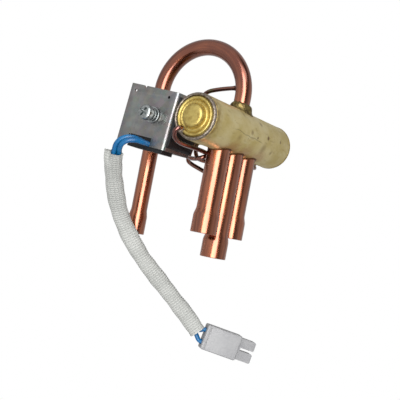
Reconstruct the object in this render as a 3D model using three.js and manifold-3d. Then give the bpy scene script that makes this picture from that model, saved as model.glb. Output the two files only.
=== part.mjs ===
// A refrigerant reversing valve: a brass slide valve with one discharge pipe and three line pipes,
// shifted by a solenoid pilot valve that hangs beside it, with the coil's two-wire lead.
//
// The valve is drawn upright in a frame of its own and then laid down as it rests on a table.
// In the valve's frame (millimetres) the brass body lies along +X with its near cap at x = 0,
// the three line pipes leave along +Y, and the pilot valve and coil sit beside it at +Z.
import * as THREE from 'three';
import { mergeVertices } from 'three/addons/utils/BufferGeometryUtils.js';
import Module from 'manifold-3d';

const wasm = await Module();
wasm.setup();

// ---- driving dimensions ----
const GAP = 0.3; // left between pieces that touch or are brazed together
const SLIDE_GAP = 0.1; // under the sliding pieces
const ROUND_SIDES = 24; // facets round the body and pipes
const SMALL_SIDES = 14; // facets round small turned pieces

const BODY_RADIUS = 13;
const BODY_BORE = 11.7;
const BODY_LENGTH = 88;
const DOME_DEPTH = 7.2;
const DOME_WALL = 1.3;

const PORT_MID = 44.2; // x of the suction pipe and of the discharge pipe
const PORT_PITCH = 15; // from one line pipe to the next, and the main slide's travel
const PORT_RADIUS = 4.7;
const PORT_XS = [PORT_MID - PORT_PITCH, PORT_MID, PORT_MID + PORT_PITCH];

const LINE_RADIUS = 6.35; // half-inch line pipe
const LINE_WALL = 0.9;
const LINE_SOCKET_RADIUS = 7.35;
const LINE_START = 9; // y of a line pipe's inner end
const SIDE_PIPE_FLARE = 46.3;
const SIDE_PIPE_END = 59.5;
const SUCTION_FLARE = 58.8;
const SUCTION_END = 72;
const FLARE_LENGTH = 3;

const DISCHARGE_RADIUS = 4.76; // three-eighths pipe
const DISCHARGE_WALL = 0.8;
const DISCHARGE_SOCKET_RADIUS = 5.55;
const BEND_RADIUS = 28.2; // centreline radius of the discharge pipe's bend
const BEND_START = -20.6; // y where the bend begins
const DISCHARGE_FLARE = 53;
const DISCHARGE_END = 67;

const SEAT_FACE = 3.5; // y of the seat's polished face
const SEAT_START = 23;
const SEAT_END = 65.4;
const CARRIER_THICK = 1.4;
const SLIDE_LENGTH = 28.6;
const SLIDE_WIDTH = 13.6;
const SLIDE_MID = PORT_MID - PORT_PITCH / 2; // between the two ports that the slide covers
const PISTON_HOLE = 1.8;

const PILOT_Y = 0.8; // the pilot valve's axis, parallel to the body
const PILOT_Z = 31.2;
const PILOT_TUBE_RADIUS = 4.75;
const PILOT_TUBE_BORE = 4.25;
const PILOT_BODY_RADIUS = 6.6;
const PILOT_BODY_START = 34.5;
const PILOT_BODY_END = 60;
const PILOT_PORT_MID = 50;
const PILOT_PITCH = 4; // between pilot ports, and the plunger's travel
const PILOT_XS = [PILOT_PORT_MID - PILOT_PITCH, PILOT_PORT_MID, PILOT_PORT_MID + PILOT_PITCH];
const PILOT_SEAT_FACE = 1.2; // above the pilot valve's axis
const PILOT_CHAMBER = 4.6; // radius of the chamber the pilot slide moves in
const PLUNGER_RADIUS = PILOT_TUBE_BORE - 0.1;
const CAPILLARY_RADIUS = 1.25;
const CAPILLARY_BORE = 0.6;
const CAPILLARY_STEP = 3.2;

const COIL_TURN = THREE.MathUtils.degToRad(6); // the coil's turn on the pilot tube
const FRAME_FRONT = 5; // x of the frame's front face
const FRAME_DEPTH = 27;
const FRAME_SHEET = 1.2;
const FRAME_LOW_Y = -15;
const FRAME_HIGH_Y = 17.4;
const FRAME_SIDE_Z = -13.1;
const FRAME_OPEN_Z = 19.6;

const WIRE_RADIUS = 1.4;
const WIRE_SPREAD = 1.55; // from the lead's middle line to each wire
const WIRE_STACK = THREE.MathUtils.degToRad(62); // one wire lies under the other at the coil
const SLEEVE_RADIUS = 4.4;
const SLEEVE_BORE = 3.8;
const HOUSING_LENGTH = 22.8;
const HOUSING_WIDTH = 15.6;
const HOUSING_HEIGHT = 9;
const HOUSING_PITCH = 3.8; // from the housing's middle line to each contact
const TONGUE_LENGTH = 9.6;

// The resting attitude: the body dips this far towards its domed end, and the pipes tilt a little,
// so that the dome, the bend and the discharge socket all touch the table.
const BODY_DIP = THREE.MathUtils.degToRad(47.75);
const PIPE_TILT = THREE.MathUtils.degToRad(-0.6);

// ---- materials ----
function metal(color, roughness) {
  return new THREE.MeshStandardMaterial({ color, roughness, metalness: 1 });
}

function plastic(color, roughness) {
  return new THREE.MeshStandardMaterial({ color, roughness, metalness: 0 });
}

const paleBrass = metal(0xb4a878, 0.5);
const capBrass = metal(0xa3904a, 0.35);
const braze = metal(0x6e645f, 0.6);
const copper = metal(0xb5683f, 0.25);
const oldCopper = metal(0x6b352a, 0.4);
const zinc = metal(0x8a8a87, 0.45);
const steel = metal(0x9a9c9e, 0.3);
const seatBrass = metal(0xb9a05a, 0.3);
const slidePlastic = plastic(0xd8d2c0, 0.5);
const ptfe = plastic(0xe8e6df, 0.6);
const coilPlastic = plastic(0x0a0c10, 0.45);
const bobbinPlastic = plastic(0x2b2b2e, 0.6);
const winding = metal(0x9c4a22, 0.35);
const blueWire = plastic(0x246ea5, 0.35);
const sleeveFibre = plastic(0xbebeb9, 0.9);
const whitePlastic = plastic(0xd4d4d2, 0.4);
const tin = metal(0xb8b8b4, 0.3);

// ---- geometry helpers ----

// Keep positions only, weld shared points and make the faces point outwards.
function closed(geometry) {
  const bare = geometry.clone();
  for (const name of Object.keys(bare.attributes)) {
    if (name !== 'position') bare.deleteAttribute(name);
  }
  const welded = mergeVertices(bare, 1e-4);
  const index = Array.from(welded.index.array);
  const p = welded.attributes.position;
  const kept = [];
  let volume = 0;
  const a = new THREE.Vector3();
  const b = new THREE.Vector3();
  const c = new THREE.Vector3();
  for (let i = 0; i < index.length; i += 3) {
    const [ia, ib, ic] = index.slice(i, i + 3);
    if (ia === ib || ib === ic || ic === ia) continue;
    a.fromBufferAttribute(p, ia);
    b.fromBufferAttribute(p, ib);
    c.fromBufferAttribute(p, ic);
    volume += a.dot(b.cross(c));
    kept.push([ia, ib, ic]);
  }
  const faces = kept.flatMap(([ia, ib, ic]) => (volume < 0 ? [ia, ic, ib] : [ia, ib, ic]));
  welded.setIndex(faces);
  return welded;
}

function solid(geometry) {
  const shell = closed(geometry);
  return new wasm.Manifold(new wasm.Mesh({
    numProp: 3,
    vertProperties: new Float32Array(shell.attributes.position.array),
    triVerts: new Uint32Array(shell.index.array),
  }));
}

function geometryOf(manifold) {
  const mesh = manifold.getMesh();
  const geometry = new THREE.BufferGeometry();
  geometry.setAttribute('position', new THREE.BufferAttribute(new Float32Array(mesh.vertProperties), 3));
  geometry.setIndex(new THREE.BufferAttribute(new Uint32Array(mesh.triVerts), 1));
  return geometry;
}

function piece(name, shape, material) {
  const geometry = shape.isBufferGeometry ? closed(shape) : geometryOf(shape);
  const mesh = new THREE.Mesh(geometry, material);
  mesh.name = name;
  return mesh;
}

// Turned piece along +Y from [y, radius] pairs.
function turnedY(profile, sides = ROUND_SIDES) {
  return new THREE.LatheGeometry(profile.map(([y, r]) => new THREE.Vector2(r, y)), sides);
}

// Turned piece along +X from [x, radius] pairs.
function turnedX(profile, sides = ROUND_SIDES) {
  return turnedY(profile, sides).rotateZ(-Math.PI / 2);
}

function rod(x0, x1, radius) {
  return [[x0, 0], [x0, radius], [x1, radius], [x1, 0]];
}

function ring(x0, x1, inner, outer) {
  return [[x0, inner], [x0, outer], [x1, outer], [x1, inner], [x0, inner]];
}

function block(x0, x1, y0, y1, z0, z1) {
  const box = new THREE.BoxGeometry(x1 - x0, y1 - y0, z1 - z0);
  return box.translate((x0 + x1) / 2, (y0 + y1) / 2, (z0 + z1) / 2);
}

function ringShape(outer, inner) {
  const shape = new THREE.Shape();
  shape.absarc(0, 0, outer, 0, 2 * Math.PI);
  if (inner > 0) {
    const hole = new THREE.Path();
    hole.absarc(0, 0, inner, 0, 2 * Math.PI, true);
    shape.holes.push(hole);
  }
  return shape;
}

// A tube or wire along a curve; its section is a ring with twice halfSides facets.
function tubeAlong(curve, steps, outer, inner, halfSides) {
  return new THREE.ExtrudeGeometry(ringShape(outer, inner), {
    steps,
    curveSegments: halfSides,
    bevelEnabled: false,
    extrudePath: curve,
  });
}

function smoothRoute(points) {
  const knots = points.map(([x, y, z]) => new THREE.Vector3(x, y, z));
  return new THREE.CatmullRomCurve3(knots, false, 'centripetal');
}

// Rectangle with rounded corners, centred on (cx, cy).
function roundedRect(cx, cy, width, height, radius) {
  const x = cx - width / 2;
  const y = cy - height / 2;
  const shape = new THREE.Shape();
  shape.absarc(x + radius, y + radius, radius, Math.PI, 1.5 * Math.PI);
  shape.absarc(x + width - radius, y + radius, radius, 1.5 * Math.PI, 2 * Math.PI);
  shape.absarc(x + width - radius, y + height - radius, radius, 0, 0.5 * Math.PI);
  shape.absarc(x + radius, y + height - radius, radius, 0.5 * Math.PI, Math.PI);
  shape.closePath();
  return shape;
}

function extruded(shape, depth, curveSegments = 6) {
  return new THREE.ExtrudeGeometry(shape, { depth, curveSegments, bevelEnabled: false });
}

// ---- main valve body ----

function bodyTube() {
  const reach = 20; // how far each drill goes past the wall
  let tube = solid(turnedX(ring(0, BODY_LENGTH, BODY_BORE, BODY_RADIUS)));
  for (const x of PORT_XS) {
    const drill = turnedY(rod(0, reach, LINE_RADIUS + GAP));
    tube = tube.subtract(solid(drill.translate(x, 0, 0)));
  }
  const drill = turnedY(rod(-reach, 0, DISCHARGE_RADIUS + GAP));
  tube = tube.subtract(solid(drill.translate(PORT_MID, 0, 0)));
  return piece('body_tube', tube, paleBrass);
}

// The near cap is a stepped cup: a raised centre boss, a groove and a rounded ridge.
function nearCap() {
  const outside = [
    [-4.6, 0], [-4.6, 5.2], [-4.2, 6.1], [-3.4, 6.6], [-0.9, 6.9], [-0.5, 7.4], [-0.5, 8.3],
    [-0.9, 8.8], [-1.7, 9.2], [-2.1, 9.8], [-1.8, 10.4], [-1, 10.7], [-0.2, 11.3], [3, 11.4],
  ];
  const inside = [
    [3, 10.3], [0.3, 10.1], [-0.8, 9.8], [0.6, 8.9], [0.6, 7], [0.2, 5.9], [-3.2, 5.6], [-3.5, 5], [-3.5, 0],
  ];
  return piece('near_cap', turnedX([...outside, ...inside]), capBrass);
}

function nearBrazeRing() {
  const profile = [
    [-GAP, 11.7], [-GAP, 13], [-0.9, 12.9], [-1.6, 12.3], [-1.8, 11.7], [-1.5, 11.1], [-1, 11.3],
    [-GAP, 11.7],
  ];
  return piece('near_braze_ring', turnedX(profile), braze);
}

// The far cap is a dome with a skirt that fits into the body.
function farCap() {
  const arcSteps = 6;
  const skirtInner = 10.3;
  const skirtOuter = BODY_BORE - GAP;
  const start = BODY_LENGTH + GAP;
  const skirtEnd = start - 2;
  const outside = [];
  const inside = [];
  for (let i = 0; i < arcSteps; i += 1) {
    const angle = (i / arcSteps) * (Math.PI / 2);
    outside.push([start + DOME_DEPTH * Math.sin(angle), BODY_RADIUS * Math.cos(angle)]);
    inside.push([start + (DOME_DEPTH - DOME_WALL) * Math.sin(angle), skirtInner * Math.cos(angle)]);
  }
  outside.push([start + DOME_DEPTH, 0]);
  inside.push([start + DOME_DEPTH - DOME_WALL, 0]);
  const skirt = [[skirtEnd, skirtInner], [skirtEnd, skirtOuter], [start, skirtOuter]];
  return piece('far_cap', turnedX([...inside.reverse(), ...skirt, ...outside]), paleBrass);
}

// The seat is a segment of bar with a port for each line pipe, counterbored to take the pipe's end.
function seatBlock() {
  const clear = 20; // past every surface of the seat
  let seat = solid(turnedX(rod(SEAT_START, SEAT_END, BODY_BORE - GAP)));
  seat = seat.intersect(solid(block(SEAT_START, SEAT_END, SEAT_FACE, clear, -clear, clear)));
  for (const x of PORT_XS) {
    const port = turnedY(rod(0, clear, PORT_RADIUS));
    const counterbore = turnedY(rod(LINE_START - GAP, clear, LINE_RADIUS + GAP));
    seat = seat.subtract(solid(port.translate(x, 0, 0)));
    seat = seat.subtract(solid(counterbore.translate(x, 0, 0)));
  }
  return piece('seat_block', seat, seatBrass);
}

// ---- main slide assembly ----

function stadium(length, width) {
  return roundedRect(0, 0, length, width, width / 2 - 0.01);
}

// The D-slide is a cup turned down over two neighbouring ports of the seat.
function mainSlide() {
  const low = SEAT_FACE - SLIDE_GAP;
  const cup = extruded(stadium(SLIDE_LENGTH, SLIDE_WIDTH), 9).rotateX(Math.PI / 2);
  const hollow = extruded(stadium(25, 10), 6).rotateX(Math.PI / 2);
  const slide = solid(cup.translate(0, low, 0)).subtract(solid(hollow.translate(0, low + 0.5, 0)));
  return piece('main_slide', slide.translate([SLIDE_MID, 0, 0]), slidePlastic);
}

// The carrier is a plate with turned-up ends; a window in it takes the slide, and each end a piston.
function carrierPlate() {
  const x0 = 7.9;
  const x1 = 65.5;
  const ends = [x0, x1 - CARRIER_THICK];
  let plate = solid(block(x0, x1, -2.2, -0.8, -9.8, 9.8));
  for (const x of ends) {
    plate = plate.add(solid(block(x, x + CARRIER_THICK, -7, 3.1, -6, 6)));
  }
  const window = solid(extruded(stadium(SLIDE_LENGTH + 0.6, SLIDE_WIDTH + 0.6), 4).rotateX(Math.PI / 2));
  plate = plate.subtract(window.translate([SLIDE_MID, 1, 0]));
  plate = plate.subtract(solid(turnedX(rod(0, 80, PISTON_HOLE), SMALL_SIDES)));
  return piece('slide_carrier', plate, steel);
}

// One end of the slide assembly: a piston, its cup seal, a retainer and the screw that holds them.
// Every profile is drawn outwards from x = inner, which is towards the cap at that end.
function pistonEnd(label, inner, outward) {
  const drawn = (profile) => profile.map(([x, r]) => [inner + outward * x, r]);
  const disc = turnedX(drawn(ring(0, 1.6, PISTON_HOLE, 11.3)));
  const cup = turnedX(drawn([
    [1.9, PISTON_HOLE], [1.9, 11], [2.2, 11.6], [3.6, 11.62], [3.6, 10.8], [2.9, 10.2],
    [2.9, PISTON_HOLE], [1.9, PISTON_HOLE],
  ]));
  const washer = turnedX(drawn(ring(3.2, 4, PISTON_HOLE, 9.4)), 20);
  const fastener = [[-1.4, 0], [-1.4, 1.5], [4.3, 1.5], [4.3, 3], [5.8, 2.7], [6.2, 0]];
  const screw = turnedX(drawn(fastener), SMALL_SIDES);
  return [
    piece(`piston_${label}`, disc, seatBrass),
    piece(`piston_seal_${label}`, cup, ptfe),
    piece(`seal_retainer_${label}`, washer, steel),
    piece(`piston_screw_${label}`, screw, steel),
  ];
}

// ---- pipes ----

function linePipe(name, step, flare, end) {
  const inner = LINE_RADIUS - LINE_WALL;
  const socket = LINE_SOCKET_RADIUS - LINE_WALL;
  const profile = [
    [LINE_START, inner], [LINE_START, LINE_RADIUS], [flare, LINE_RADIUS],
    [flare + FLARE_LENGTH / 2, (LINE_RADIUS + LINE_SOCKET_RADIUS) / 2],
    [flare + FLARE_LENGTH, LINE_SOCKET_RADIUS], [end, LINE_SOCKET_RADIUS], [end, socket],
    [flare + FLARE_LENGTH, socket], [flare, inner], [LINE_START, inner],
  ];
  const pipe = turnedY(profile).translate(PORT_MID + step * PORT_PITCH, 0, 0);
  return piece(name, pipe, copper);
}

// Up from the body, over through a half circle and straight down to a swaged socket.
function dischargePipe() {
  const path = new THREE.CurvePath();
  const at = (y, z) => new THREE.Vector3(PORT_MID, y, z);
  const far = 2 * BEND_RADIUS;
  const legJoin = 2;
  path.add(new THREE.LineCurve3(at(-11.5, 0), at(BEND_START, 0)));
  class HalfCircle extends THREE.Curve {
    getPoint(t, target = new THREE.Vector3()) {
      const angle = Math.PI * t;
      const y = BEND_START - BEND_RADIUS * Math.sin(angle);
      return target.set(PORT_MID, y, BEND_RADIUS * (1 - Math.cos(angle)));
    }
  }
  path.add(new HalfCircle());
  path.add(new THREE.LineCurve3(at(BEND_START, far), at(legJoin, far)));
  const inner = DISCHARGE_RADIUS - DISCHARGE_WALL;
  const hair = 0.01; // keeps the two lengths of pipe from sharing a surface where they overlap
  const over = solid(tubeAlong(path, 24, DISCHARGE_RADIUS, inner, 7));
  const socket = DISCHARGE_SOCKET_RADIUS;
  const leg = turnedY([
    [legJoin - 1, inner - hair], [legJoin - 1, DISCHARGE_RADIUS + hair],
    [DISCHARGE_FLARE, DISCHARGE_RADIUS + hair],
    [DISCHARGE_FLARE + FLARE_LENGTH, socket], [DISCHARGE_END, socket],
    [DISCHARGE_END, socket - DISCHARGE_WALL], [DISCHARGE_FLARE + FLARE_LENGTH, socket - DISCHARGE_WALL],
    [DISCHARGE_FLARE, inner - hair], [legJoin - 1, inner - hair],
  ], 14).translate(PORT_MID, 0, far);
  return piece('discharge_pipe', over.add(solid(leg)), copper);
}

// A fillet of braze round the discharge pipe where it enters the body.
function dischargeCollar() {
  const hole = DISCHARGE_RADIUS + GAP;
  const profile = [[-17, hole], [-17, 5.5], [-15, 6.1], [-13.5, 7.4], [-11, 8.4], [-11, hole], [-17, hole]];
  let collar = solid(turnedY(profile, 24).translate(PORT_MID, 0, 0));
  collar = collar.subtract(solid(turnedX(rod(0, 80, BODY_RADIUS + GAP))));
  return piece('discharge_braze_collar', collar, braze);
}

// ---- pilot valve ----

function pilotBody() {
  const mouth = PILOT_TUBE_RADIUS + GAP;
  const shoulder = PILOT_BODY_RADIUS - 0.6;
  const ledge = 41.2; // where the bore for the tube steps down to the slide chamber
  const chamberEnd = 57.5;
  let body = solid(turnedX([
    [PILOT_BODY_START, mouth], [PILOT_BODY_START, shoulder], [PILOT_BODY_START + 0.6, PILOT_BODY_RADIUS],
    [PILOT_BODY_END - 1, PILOT_BODY_RADIUS], [PILOT_BODY_END, PILOT_BODY_RADIUS - 1], [PILOT_BODY_END, 0],
    [chamberEnd, 0], [chamberEnd, PILOT_CHAMBER], [ledge, PILOT_CHAMBER], [ledge, mouth],
    [PILOT_BODY_START, mouth],
  ]));
  for (const x of PILOT_XS) {
    const drill = turnedY(rod(3, 10, CAPILLARY_RADIUS + GAP), SMALL_SIDES);
    body = body.subtract(solid(drill.translate(x, 0, 0)));
  }
  const drill = turnedY(rod(-10, -3, CAPILLARY_RADIUS + GAP), SMALL_SIDES);
  body = body.subtract(solid(drill.translate(PILOT_PORT_MID, 0, 0)));
  return piece('pilot_body', body, seatBrass);
}

function pilotTube() {
  return piece('pilot_tube', turnedX(ring(7.6, 40.9, PILOT_TUBE_BORE, PILOT_TUBE_RADIUS), 24), steel);
}

// The fixed core closes the tube's front end; the coil's screw goes into it.
function fixedCore() {
  const radius = PLUNGER_RADIUS;
  const profile = [[6.6, 2.3], [6.6, radius], [18, radius], [18, 0], [15, 0], [15, 2.3], [6.6, 2.3]];
  return piece('fixed_core', turnedX(profile, 24), steel);
}

// The plunger has a pocket in its front end for the return spring.
function plunger() {
  const radius = PLUNGER_RADIUS;
  const profile = [
    [22.4, 2.7], [22.4, radius - 0.3], [22.8, radius], [37.6, radius], [38, radius - 0.4], [38, 0],
    [31, 0], [31, 2.7], [22.4, 2.7],
  ];
  return piece('plunger', turnedX(profile, 24), steel);
}

// The return spring bears on the fixed core and on the bottom of the plunger's pocket.
function returnSpring() {
  const turns = 5;
  const radius = 2.05;
  const wire = 0.25;
  const x0 = 18.4;
  const x1 = 30.6;
  class Coil extends THREE.Curve {
    getPoint(t, target = new THREE.Vector3()) {
      const angle = 2 * Math.PI * turns * t;
      return target.set(x0 + (x1 - x0) * t, radius * Math.cos(angle), radius * Math.sin(angle));
    }
  }
  return piece('return_spring', tubeAlong(new Coil(), turns * 10, wire, 0, 2), steel);
}

// A leaf that the plunger pulls, with a window that carries the pilot slide.
function pilotCarrier() {
  const leaf = solid(block(38.3, 56.6, -0.9, -0.3, -1.9, 1.9));
  const window = solid(block(47.7, 56, -2, 1, -1.4, 1.4));
  return piece('pilot_carrier', leaf.subtract(window), steel);
}

// The pilot slide is a small cup over the middle port and the port beside it.
function pilotSlide() {
  const cup = solid(block(48, 55.7, -1.7, PILOT_SEAT_FACE - SLIDE_GAP, -1.1, 1.1));
  return piece('pilot_slide', cup.subtract(solid(block(49.2, 54.8, 0, 2, -0.6, 0.6))), ptfe);
}

function pilotSeat() {
  const clear = 6; // past every surface of the seat
  let seat = solid(turnedX(rod(43.5, 56.8, PILOT_CHAMBER - GAP)));
  seat = seat.intersect(solid(block(43, 57, PILOT_SEAT_FACE, clear, -clear, clear)));
  for (const x of PILOT_XS) {
    const port = turnedY(rod(0, clear, 0.55), 12);
    const socket = turnedY(rod(3.4, clear, CAPILLARY_RADIUS + GAP), SMALL_SIDES);
    seat = seat.subtract(solid(port.translate(x, 0, 0)));
    seat = seat.subtract(solid(socket.translate(x, 0, 0)));
  }
  return piece('pilot_seat', seat, seatBrass);
}

// A pressed bracket: a saddle on the main body, a web and a saddle round the pilot body.
function pilotBracket() {
  const x0 = 35.5;
  const x1 = 44.2;
  const sheet = 1.2;
  const webLow = BODY_RADIUS + GAP + sheet / 2;
  const webHigh = PILOT_Z - PILOT_BODY_RADIUS - GAP - sheet / 2;
  const web = block(x0, x1, PILOT_Y - sheet / 2, PILOT_Y + sheet / 2, webLow, webHigh);
  const round = solid(turnedX(ring(x0, x1, BODY_RADIUS + GAP, BODY_RADIUS + GAP + sheet)));
  const lower = round.intersect(solid(block(x0, x1, -8, 8, 9, 16)));
  const tight = solid(turnedX(ring(x0, x1, PILOT_BODY_RADIUS + GAP, PILOT_BODY_RADIUS + GAP + sheet)));
  const upper = tight.intersect(solid(block(x0, x1, -9, 9, -9, -0.5)));
  return piece('pilot_bracket', lower.add(upper.translate([0, PILOT_Y, PILOT_Z])).add(solid(web)), oldCopper);
}

// Routes of the capillaries in the valve's frame, from the pilot body outwards.
const PILOT_TOP = PILOT_Y - 4.9;
const PILOT_LOW = PILOT_Y + 3.7;
const CAPILLARY_ROUTES = {
  capillary_discharge: [
    [50, PILOT_TOP, PILOT_Z], [50, -8, PILOT_Z], [50, -12, 31], [49, -16.4, 30.2], [46.5, -20.4, 27.8],
    [44.6, -22.6, 23.6], [44.2, -23.9, 18.5], [44.2, -25, 12.5], [44.2, -25.9, 5.75],
  ],
  capillary_near_cap: [
    [46, PILOT_LOW, PILOT_Z], [46, 9, PILOT_Z], [45.6, 12.6, 30.8], [43.6, 15.6, 29.2], [40, 17.6, 25.5],
    [35.6, 18.5, 19.5], [32.6, 18.3, 14.4], [32.8, 17.2, 11.6], [35, 15.9, 10.6], [34.6, 14.9, 10.4],
    [31, 14.4, 10.6], [23, 14.2, 10.8], [14, 14.4, 10.2], [6, 14.3, 9.8], [0.6, 13.4, 9.8], [-3, 11.2, 9.4],
    [-4.6, 8.9, 8], [-4.2, 7.6, 6.7], [-2.45, 7.3, 6.3],
  ],
  capillary_suction: [
    [50, PILOT_LOW, PILOT_Z], [50, 9, PILOT_Z], [50, 13, 31.8], [49.2, 16.6, 32], [47.4, 19, 30.4],
    [45.4, 20.8, 26.6], [44.4, 22.8, 20.6], [44, 24.6, 14.8], [44.2, 25.6, 10.5], [44.2, 26, 6.75],
  ],
  capillary_far_cap: [
    [54, PILOT_LOW, PILOT_Z], [54, 9, PILOT_Z], [54, 13, 30.6], [53.4, 16, 28.2], [52.2, 17.2, 24],
    [51, 17.6, 18.8], [51.6, 17.6, 13.8], [55.4, 17.2, 10.6], [61.5, 16.6, 9.4], [67.5, 15.9, 7.2],
    [73, 15, 4.4], [78.5, 14.7, 3.6], [83.5, 14.3, 5.6], [88, 12.4, 8.8], [91, 10.6, 9.6], [91.4, 9.3, 8.7],
  ],
};

function capillary(name) {
  const route = smoothRoute(CAPILLARY_ROUTES[name]);
  const steps = Math.round(route.getLength() / CAPILLARY_STEP);
  return piece(name, tubeAlong(route, steps, CAPILLARY_RADIUS, CAPILLARY_BORE, 3), oldCopper);
}

// ---- coil ----

function frameOutline() {
  const bend = 2.4; // outside radius
  const x0 = FRAME_FRONT;
  const x1 = FRAME_FRONT + FRAME_DEPTH;
  const t = FRAME_SHEET;
  const shape = new THREE.Shape();
  shape.moveTo(x0, FRAME_OPEN_Z);
  shape.lineTo(x0, FRAME_SIDE_Z + bend);
  shape.absarc(x0 + bend, FRAME_SIDE_Z + bend, bend, Math.PI, 1.5 * Math.PI);
  shape.absarc(x1 - bend, FRAME_SIDE_Z + bend, bend, 1.5 * Math.PI, 2 * Math.PI);
  shape.lineTo(x1, FRAME_OPEN_Z);
  shape.lineTo(x1 - t, FRAME_OPEN_Z);
  shape.absarc(x1 - bend, FRAME_SIDE_Z + bend, bend - t, 0, -0.5 * Math.PI, true);
  shape.absarc(x0 + bend, FRAME_SIDE_Z + bend, bend - t, 1.5 * Math.PI, Math.PI, true);
  shape.lineTo(x0 + t, FRAME_OPEN_Z);
  shape.closePath();
  return shape;
}

// The coil's steel yoke: a U of sheet with its open side away from the body.
function coilFrame() {
  const high = FRAME_HIGH_Y - FRAME_LOW_Y;
  const x0 = FRAME_FRONT - 1;
  const x1 = FRAME_FRONT + 3;
  const sheet = extruded(frameOutline(), high).rotateX(Math.PI / 2);
  const screwHole = turnedX(rod(x0, x1, 2.3), SMALL_SIDES);
  const tubeHole = turnedX(rod(28, 40, PILOT_TUBE_RADIUS + GAP));
  const notch = block(x0, x1, FRAME_HIGH_Y - 4.7, FRAME_HIGH_Y + 1, -3.4, 12.5);
  const vee = new THREE.CylinderGeometry(1.6, 1.6, 6, 4).rotateZ(Math.PI / 2);
  const sideHole = new THREE.CylinderGeometry(1.1, 1.1, 4, 12).rotateX(Math.PI / 2);
  const cuts = [
    screwHole,
    tubeHole,
    notch,
    vee.translate(FRAME_FRONT, FRAME_LOW_Y, 10),
    sideHole.translate(FRAME_FRONT + 13.4, 13.4, FRAME_SIDE_Z),
  ];
  for (const z of [-7.2, 15.9]) {
    cuts.push(turnedX(rod(x0, x1, 0.8), 10).translate(0, -11.3, z));
  }
  let frame = solid(sheet.translate(0, FRAME_HIGH_Y, 0));
  for (const cut of cuts) {
    frame = frame.subtract(solid(cut));
  }
  return piece('coil_frame', frame, zinc);
}

const COIL_BORE = PILOT_TUBE_RADIUS + 0.35;

// The moulded coil body: a rounded block, and a lower block that the lead comes out of.
function coilMoulding() {
  const main = extruded(roundedRect(-1.5, 1.2, 26, 30.6, 4), 23.5).rotateY(Math.PI / 2);
  let moulding = solid(main.translate(6.7, 0, 0));
  moulding = moulding.add(solid(block(6.9, 17.5, 14, 19.6, -11, 13)));
  moulding = moulding.subtract(solid(turnedX(rod(0, 40, COIL_BORE))));
  moulding = moulding.subtract(solid(turnedX(rod(8.6, 28.6, 11))));
  return piece('coil_moulding', moulding, coilPlastic);
}

function coilBobbin() {
  const inner = COIL_BORE;
  const barrel = 6.1;
  const flange = 10.6;
  const profile = [
    [9, inner], [9, flange], [10.2, flange], [10.2, barrel], [27, barrel], [27, flange], [28.2, flange],
    [28.2, inner], [9, inner],
  ];
  return piece('coil_bobbin', turnedX(profile), bobbinPlastic);
}

function coilWinding() {
  return piece('coil_winding', turnedX(ring(10.5, 26.7, 6.4, 10.3)), winding);
}

// A hexagon screw with a cross recess.
function coilScrew() {
  const headHigh = 4.2;
  const back = FRAME_FRONT - 4.8; // x of the underside of the head
  const top = back - headHigh;
  const hex = new THREE.CylinderGeometry(4.4, 4.4, headHigh, 6).rotateZ(Math.PI / 2);
  const bevel = turnedX([[top - 0.2, 0], [top - 0.2, 3.4], [top + 0.8, 4.3], [back, 4.3], [back, 0]]);
  const shank = turnedX(rod(back - 0.5, 13, 1.95), SMALL_SIDES);
  let screw = solid(hex.translate((back + top) / 2, 0, 0));
  screw = screw.intersect(solid(bevel)).add(solid(shank));
  for (const turn of [0, Math.PI / 2]) {
    const slot = block(top - 1, top + 1.6, -2.5, 2.5, -0.55, 0.55).rotateX(turn + 0.5);
    screw = screw.subtract(solid(slot));
  }
  return piece('coil_screw', screw, zinc);
}

// A split ring with its ends a little apart along the screw.
function springWasher() {
  const x0 = FRAME_FRONT - 3.5;
  const lift = 0.9;
  const radius = 3.05;
  const split = 0.3; // angle of the gap between its ends
  class Split extends THREE.Curve {
    getPoint(t, target = new THREE.Vector3()) {
      const angle = split / 2 + (2 * Math.PI - split) * t;
      return target.set(x0 + lift * t, radius * Math.cos(angle), radius * Math.sin(angle));
    }
  }
  const section = new THREE.Shape();
  section.moveTo(-0.65, -0.75);
  section.lineTo(0.65, -0.75);
  section.lineTo(0.65, 0.75);
  section.lineTo(-0.65, 0.75);
  section.closePath();
  const options = { steps: 20, bevelEnabled: false, extrudePath: new Split() };
  return piece('spring_washer', new THREE.ExtrudeGeometry(section, options), zinc);
}

function flatWasher() {
  const front = FRAME_FRONT - GAP - 0.9;
  return piece('flat_washer', turnedX(ring(front, front + 0.9, 2.25, 4.5), 20), zinc);
}

// ---- lead ----

// The lead's middle line, in the frame of the laid-down valve: out of the coil, over its corner,
// down onto the end of the discharge socket, and from there to the table and the connector.
// Each point is x, y and height above the table.
const LEAD_ROUTE = [
  [-36.9, -7.2, 49.4], [-39, -7.1, 52.1], [-41.6, -6.9, 54.3], [-44.6, -6.7, 55.8], [-48.6, -7.4, 55.9],
  [-51.6, -9.3, 54.4], [-53.4, -12, 51.8], [-53.9, -15, 48.4], [-53.4, -18.2, 44.4], [-52.2, -22.1, 40],
  [-50.9, -26.2, 35.6], [-49.3, -30.4, 31.4], [-47.5, -35, 27.4], [-45.5, -39.6, 24], [-43.1, -44.6, 20.8],
  [-40.2, -49.6, 18.2], [-36.8, -54.6, 16.4], [-32.6, -60.2, 15.2], [-27.9, -65.7, 14], [-22.9, -71, 12.2],
  [-16.8, -76.6, 10], [-10.2, -82.3, 8], [-3.2, -88.3, 6.3], [4.2, -94.8, 5.1], [11.7, -101.4, 4.5],
  [20.2, -109.8, 4.45],
];
const SLEEVE_FIRST = 7; // the sleeve covers the route from this point to its last point
const LEAD_STEP = 6.5;
const HOUSING_AT = [35.5, -113.6];
const HOUSING_TURN = THREE.MathUtils.degToRad(-9.9);

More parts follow.
